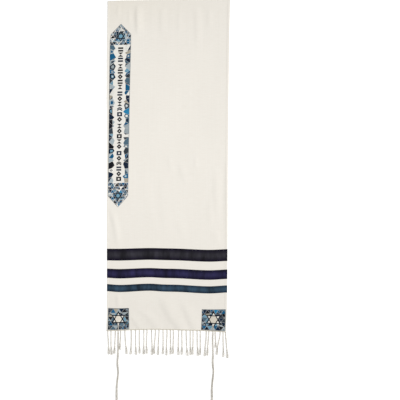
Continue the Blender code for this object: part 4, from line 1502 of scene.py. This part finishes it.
def makeFringe():
    values, shape = fringeValues, newShape()
    chance = random.Random(values["seed"])
    for number, (root, tip, drop) in enumerate(strandRows):
        topY = frontPoint(root, lay["frontLength"], 0).y

        def centre(along):
            x = root + (tip - root) * fade(along) + values["sway"] * sin(2.4 * number + 5 * along) * along
            return Vector((x, topY - drop * along, values["floor"] + values["radius"] + values["lift"]))

        knot = values["knotAt"] + values["knotLoose"] * (chance.random() - 0.5)
        path = [centre(t) for t in [-0.02] + spread(0.0, knot, 0.02)]
        path[0].z = path[1].z + values["rootRise"]
        twist(shape, path, values["radius"] - values["ply"], lambda t: values["ply"], values["pitch"],
              number * 1.3)
        addFringeKnot(shape, centre(knot + values["knotBelow"]))
        addTuft(shape, centre, knot, chance)
    return newPiece("fringeCords", shape, ["fringeCord"], ["hem_fringe"])


fringeCords = makeFringe()
print("fringe:", len(fringeCords.data.polygons), "faces")


# below, left, right
tasselRows = [
    (1.5105, -0.2296, 0.2014), (1.5470, -0.2304, 0.2004), (1.6084, -0.2311, 0.2018),
    (1.6678, -0.2336, 0.2010), (1.7000, -0.2302, 0.2039), (1.7500, -0.2358, 0.1980),
    (1.8273, -0.2378, 0.1968), (1.8520, -0.2374, 0.1972),
]
tasselValues = {
    "headStart": 0.005, "headLength": 0.088, "headLift": 0.0031, "floor": 0.0004,
    "knots": (0.06, 0.26, 0.46, 0.70, 0.94), "knotClear": 0.045,
    "turns": (7, 8, 11, 13), "wrap": 0.00055, "coreWidth": 0.0025, "coreDepth": 0.0018,
    "coilSteps": 16, "wrapClear": 0.0001, "wrapShare": 0.46, "coreStep": 0.05, "coreLift": 0.0002,
    "knotWidth": 0.0034, "knotDepth": 0.0023, "knotCord": 0.00085, "knotSteps": 24,
    "knotApart": 0.0017, "knotTilt": 0.0012, "bulgeLift": 0.0002, "bulgeFlat": 0.8,
    "bulge": ((0.0034, 0.0020), (0.0018, 0.0027), (0, 0.0029), (-0.0018, 0.0027), (-0.0034, 0.0020)),
    "loopStrings": 4, "loopSpacing": 0.00092, "loopOffset": 0.00022, "loopPly": 0.00034,
    "loopOver": 0.00245, "loopUnder": 0.0008, "loopStagger": 0.0002, "loopTight": 0.8, "loopTightLift": 0.004,
    "loopPitch": 0.0026, "ply": 0.00046, "stringRadius": 0.00080, "pitch": 0.0034,
    "trims": (0.000, 0.009, 0.004, 0.014, 0.011, 0.003, 0.016, 0.006), "stringStart": 0.004,
    "stringSteps": 48, "rowPitch": 0.0021, "rowSpread": (0.16, 9, 0.25), "gathered": (0.55, 0.06),
    "layerShift": (0.0007, 3), "layerRoot": 0.0020, "layerLift": (0.0009, 0.0019), "layerSettles": 0.12,
    "wave": (0.0006, 23, 1.9, 0.1), "stringTip": (0.985, 0.55),
}


# Strings side by side from the head, over the patch, down the eyelet and back.
def addLoop(shape, eyeletX, headY, centreZ):
    values = tasselValues
    hemY, eyeletY = (frontPoint(eyeletX, below, 0).y for below in (lay["frontLength"], eyeletBelow))
    over = cordRidge["height"] + lay["wall"] + values["loopOver"]
    under = values["floor"] + values["loopUnder"]
    for n in range(values["loopStrings"]):
        off = (n - (values["loopStrings"] - 1) / 2) * values["loopSpacing"]
        lower = values["loopStagger"] * (n % 2)
        way = [
            (headY - 0.004, centreZ + 0.0008), (hemY - 0.0040, centreZ + 0.0012),
            (hemY - 0.0018, over - 0.0014), (hemY + 0.0010, over - lower),
            (hemY + 0.0120, over + 0.0001 - lower), (eyeletY - 0.0040, over - lower),
            (eyeletY - 0.0012, over - 0.0004), (eyeletY + 0.0002, over - 0.0018),
            (eyeletY + 0.0002, under + 0.0018), (eyeletY - 0.0010, under + 0.0004),
            (eyeletY - 0.0040, under), (hemY + 0.0030, under), (hemY - 0.0015, under + 0.0004),
            (headY - 0.0035, centreZ - 0.0010),
        ]
        path = [Vector((eyeletX + off * (values["loopTight"] if z < values["loopTightLift"] else 1), y, z))
                for y, z in way]
        twist(shape, path, values["loopOffset"], lambda t: values["loopPly"], values["loopPitch"], n)


# The core of strings, its windings, and double knots of two tilted turns over a small bulge.
def addHead(shape, headPoint):
    values = tasselValues
    start = len(shape["points"])
    sweep(shape, [headPoint(t) for t in spread(0.0, 1.0, values["coreStep"])], values["coreWidth"], 10,
          values["coreDepth"] / values["coreWidth"])
    for point in shape["points"][start:]:
        point.z = max(point.z, values["floor"] + values["coreLift"])

    def around(along, angle, wide, deep):
        return headPoint(along) + Vector((wide * cos(angle), 0, deep * sin(angle)))

    for turns, knot, nextKnot in zip(values["turns"], values["knots"], values["knots"][1:]):
        first, last = knot + values["knotClear"], nextKnot - values["knotClear"]
        steps, clear = turns * values["coilSteps"], values["wrapClear"]
        coil = [around(first + (last - first) * (k / steps), 2 * pi * turns * (k / steps),
                       values["coreWidth"] + clear, values["coreDepth"] + clear) for k in range(steps + 1)]
        room = (last - first) * values["headLength"] / turns
        sweep(shape, coil, min(values["wrap"], values["wrapShare"] * room), 6)
    for number, knot in enumerate(values["knots"]):
        for tilt in (-1, 1):
            ring = []
            for k in range(values["knotSteps"] + 1):
                angle = 2 * pi * k / values["knotSteps"] + number
                point = around(knot, angle, values["knotWidth"], values["knotDepth"])
                point.y += tilt * (values["knotApart"] + values["knotTilt"] * cos(angle))
                point.z = max(point.z, values["floor"] + values["knotCord"])
                ring.append(point)
            sweep(shape, ring, values["knotCord"], 7)
        middle = headPoint(knot) + Vector((0, 0, values["bulgeLift"]))
        addBulge(shape, middle, values["bulge"], 10, values["bulgeFlat"])


# Eight strings, four beside each other in two layers.
def addStrings(shape, column, endY, centreZ):
    values, foldY = tasselValues, lay["foldY"]
    start = foldY - endY - values["stringStart"]
    (swell, swellRate, flare), (gathered, gatherEnd) = values["rowSpread"], values["gathered"]
    (shift, shiftRate), (wave, waveRate, waveTurn, waveStart) = values["layerShift"], values["wave"]
    tipStart, tipSize = values["stringTip"]
    for number, trim in enumerate(values["trims"]):
        layer, row = divmod(number, 4)
        end = 2 * foldY - trim
        rootZ = centreZ + (layer - 0.5) * values["layerRoot"]
        lyingZ = values["floor"] + values["layerLift"][0] + layer * values["layerLift"][1]
        path = []
        for t in spread(0.0, 1.0, 1 / values["stringSteps"]):
            below = start + (end - start) * t
            gather = gathered + (1 - gathered) * fade(t / gatherEnd)
            pitch = values["rowPitch"] * gather * (1 + swell * sin(swellRate * t) * t + flare * t ** 4)
            x = follow(tasselRows, column, below) + (row - 1.5) * pitch
            x += (layer - 0.5) * shift * fade(shiftRate * t)
            x += wave * sin(waveRate * t + waveTurn * number) * fade(t / waveStart)
            z = rootZ + (lyingZ - rootZ) * fade(t / values["layerSettles"])
            path.append(Vector((x, foldY - below, z)))
        twist(shape, path, values["stringRadius"] - values["ply"],
              lambda t: values["ply"] * (1 if t < tipStart else tipSize), values["pitch"], number)


def makeTassel(side, column):
    values, shape = tasselValues, newShape()
    eyeletX = corners[side]["eyelet"]
    headY = frontPoint(eyeletX, lay["frontLength"], 0).y - values["headStart"]
    centreZ = values["floor"] + values["headLift"]

    def headPoint(along):
        y = headY - along * values["headLength"]
        return Vector((follow(tasselRows, column, lay["foldY"] - y), y, centreZ))

    addLoop(shape, eyeletX, headY, centreZ)
    addHead(shape, headPoint)
    addStrings(shape, column, headY - values["headLength"], centreZ)
    return newPiece(side + "Tassel", shape, ["tasselCord"], ["tassel_" + side])


leftTassel = makeTassel("left", 1)
rightTassel = makeTassel("right", 2)
print("tassels:", len(leftTassel.data.polygons) + len(rightTassel.data.polygons), "faces")

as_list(neckbandWork)
for ground, work, corner in ((leftPatchGround, leftPatchWork, corners["left"]),
                             (rightPatchGround, rightPatchWork, corners["right"])):
    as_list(work)


studio = {
    "floorSize": 9.0, "floorHeight": -0.0003, "floorTone": (0.70, 0.70, 0.70, 1), "floorGlow": 0.50,
    "floorRoughness": 0.9, "floorSpecular": 0.1, "floorSpeckle": (0.99, 1.0),
    "skyStrength": 0.36, "skyColour": (1.0, 0.995, 0.985, 1),
    "keyStrength": 1.75, "keyAngle": 14, "keyFrom": (0.66, 0.10, 0.72), "keyColour": (1.0, 0.99, 0.97),
    "softPower": 12.2, "softSize": 0.9, "softPlace": (0.05, 0.22, 1.92),
    "cameraPlace": (0.1425, 0.0134, 4.307), "lens": 85, "sensor": 36,
}


def makeStudio():
    half = studio["floorSize"] / 2
    mesh = bpy.data.meshes.new("floor")
    mesh.from_pydata([(*point, studio["floorHeight"]) for point in rectangle(-half, -half, half, half)], [],
                     [(0, 1, 2, 3)])
    finish, tree, shader = newFinish("floorPaper", studio["floorRoughness"], studio["floorSpecular"])
    place = addNode(tree, "ShaderNodeTexCoord").outputs["Object"]
    tone = levels(tree, grain(tree, place, "paper"), *noiseSpan, *studio["floorSpeckle"])
    feed(tree, shader, {"Base Color": blendColours(tree, 1, studio["floorTone"], tone, "MULTIPLY"),
                        "Emission Color": (1, 1, 1, 1), "Emission Strength": studio["floorGlow"]})
    mesh.materials.append(finish)
    addObject("floor", mesh)

    world = bpy.data.worlds.new("studio")
    bpy.context.scene.world = world
    world.use_nodes = True
    feed(world.node_tree, world.node_tree.nodes["Background"],
         {"Color": studio["skyColour"], "Strength": studio["skyStrength"]})

    key = bpy.data.lights.new("key", "SUN")
    key.energy = studio["keyStrength"]
    key.angle = radians(studio["keyAngle"])
    key.color = studio["keyColour"]
    keyObject = addObject("key", key)
    keyObject.rotation_euler = Vector(studio["keyFrom"]).to_track_quat("Z", "Y").to_euler()

    soft = bpy.data.lights.new("soft", "AREA")
    soft.shape = "DISK"
    soft.size = studio["softSize"]
    soft.energy = studio["softPower"]
    addObject("soft", soft, studio["softPlace"]).visible_camera = False

    camera = bpy.data.cameras.new("camera")
    camera.lens = studio["lens"]
    camera.sensor_width = studio["sensor"]
    camera.clip_end = 50
    bpy.context.scene.camera = addObject("camera", camera, studio["cameraPlace"])
    bpy.context.scene.view_settings.view_transform = "Standard"


makeStudio()
print("studio ready")
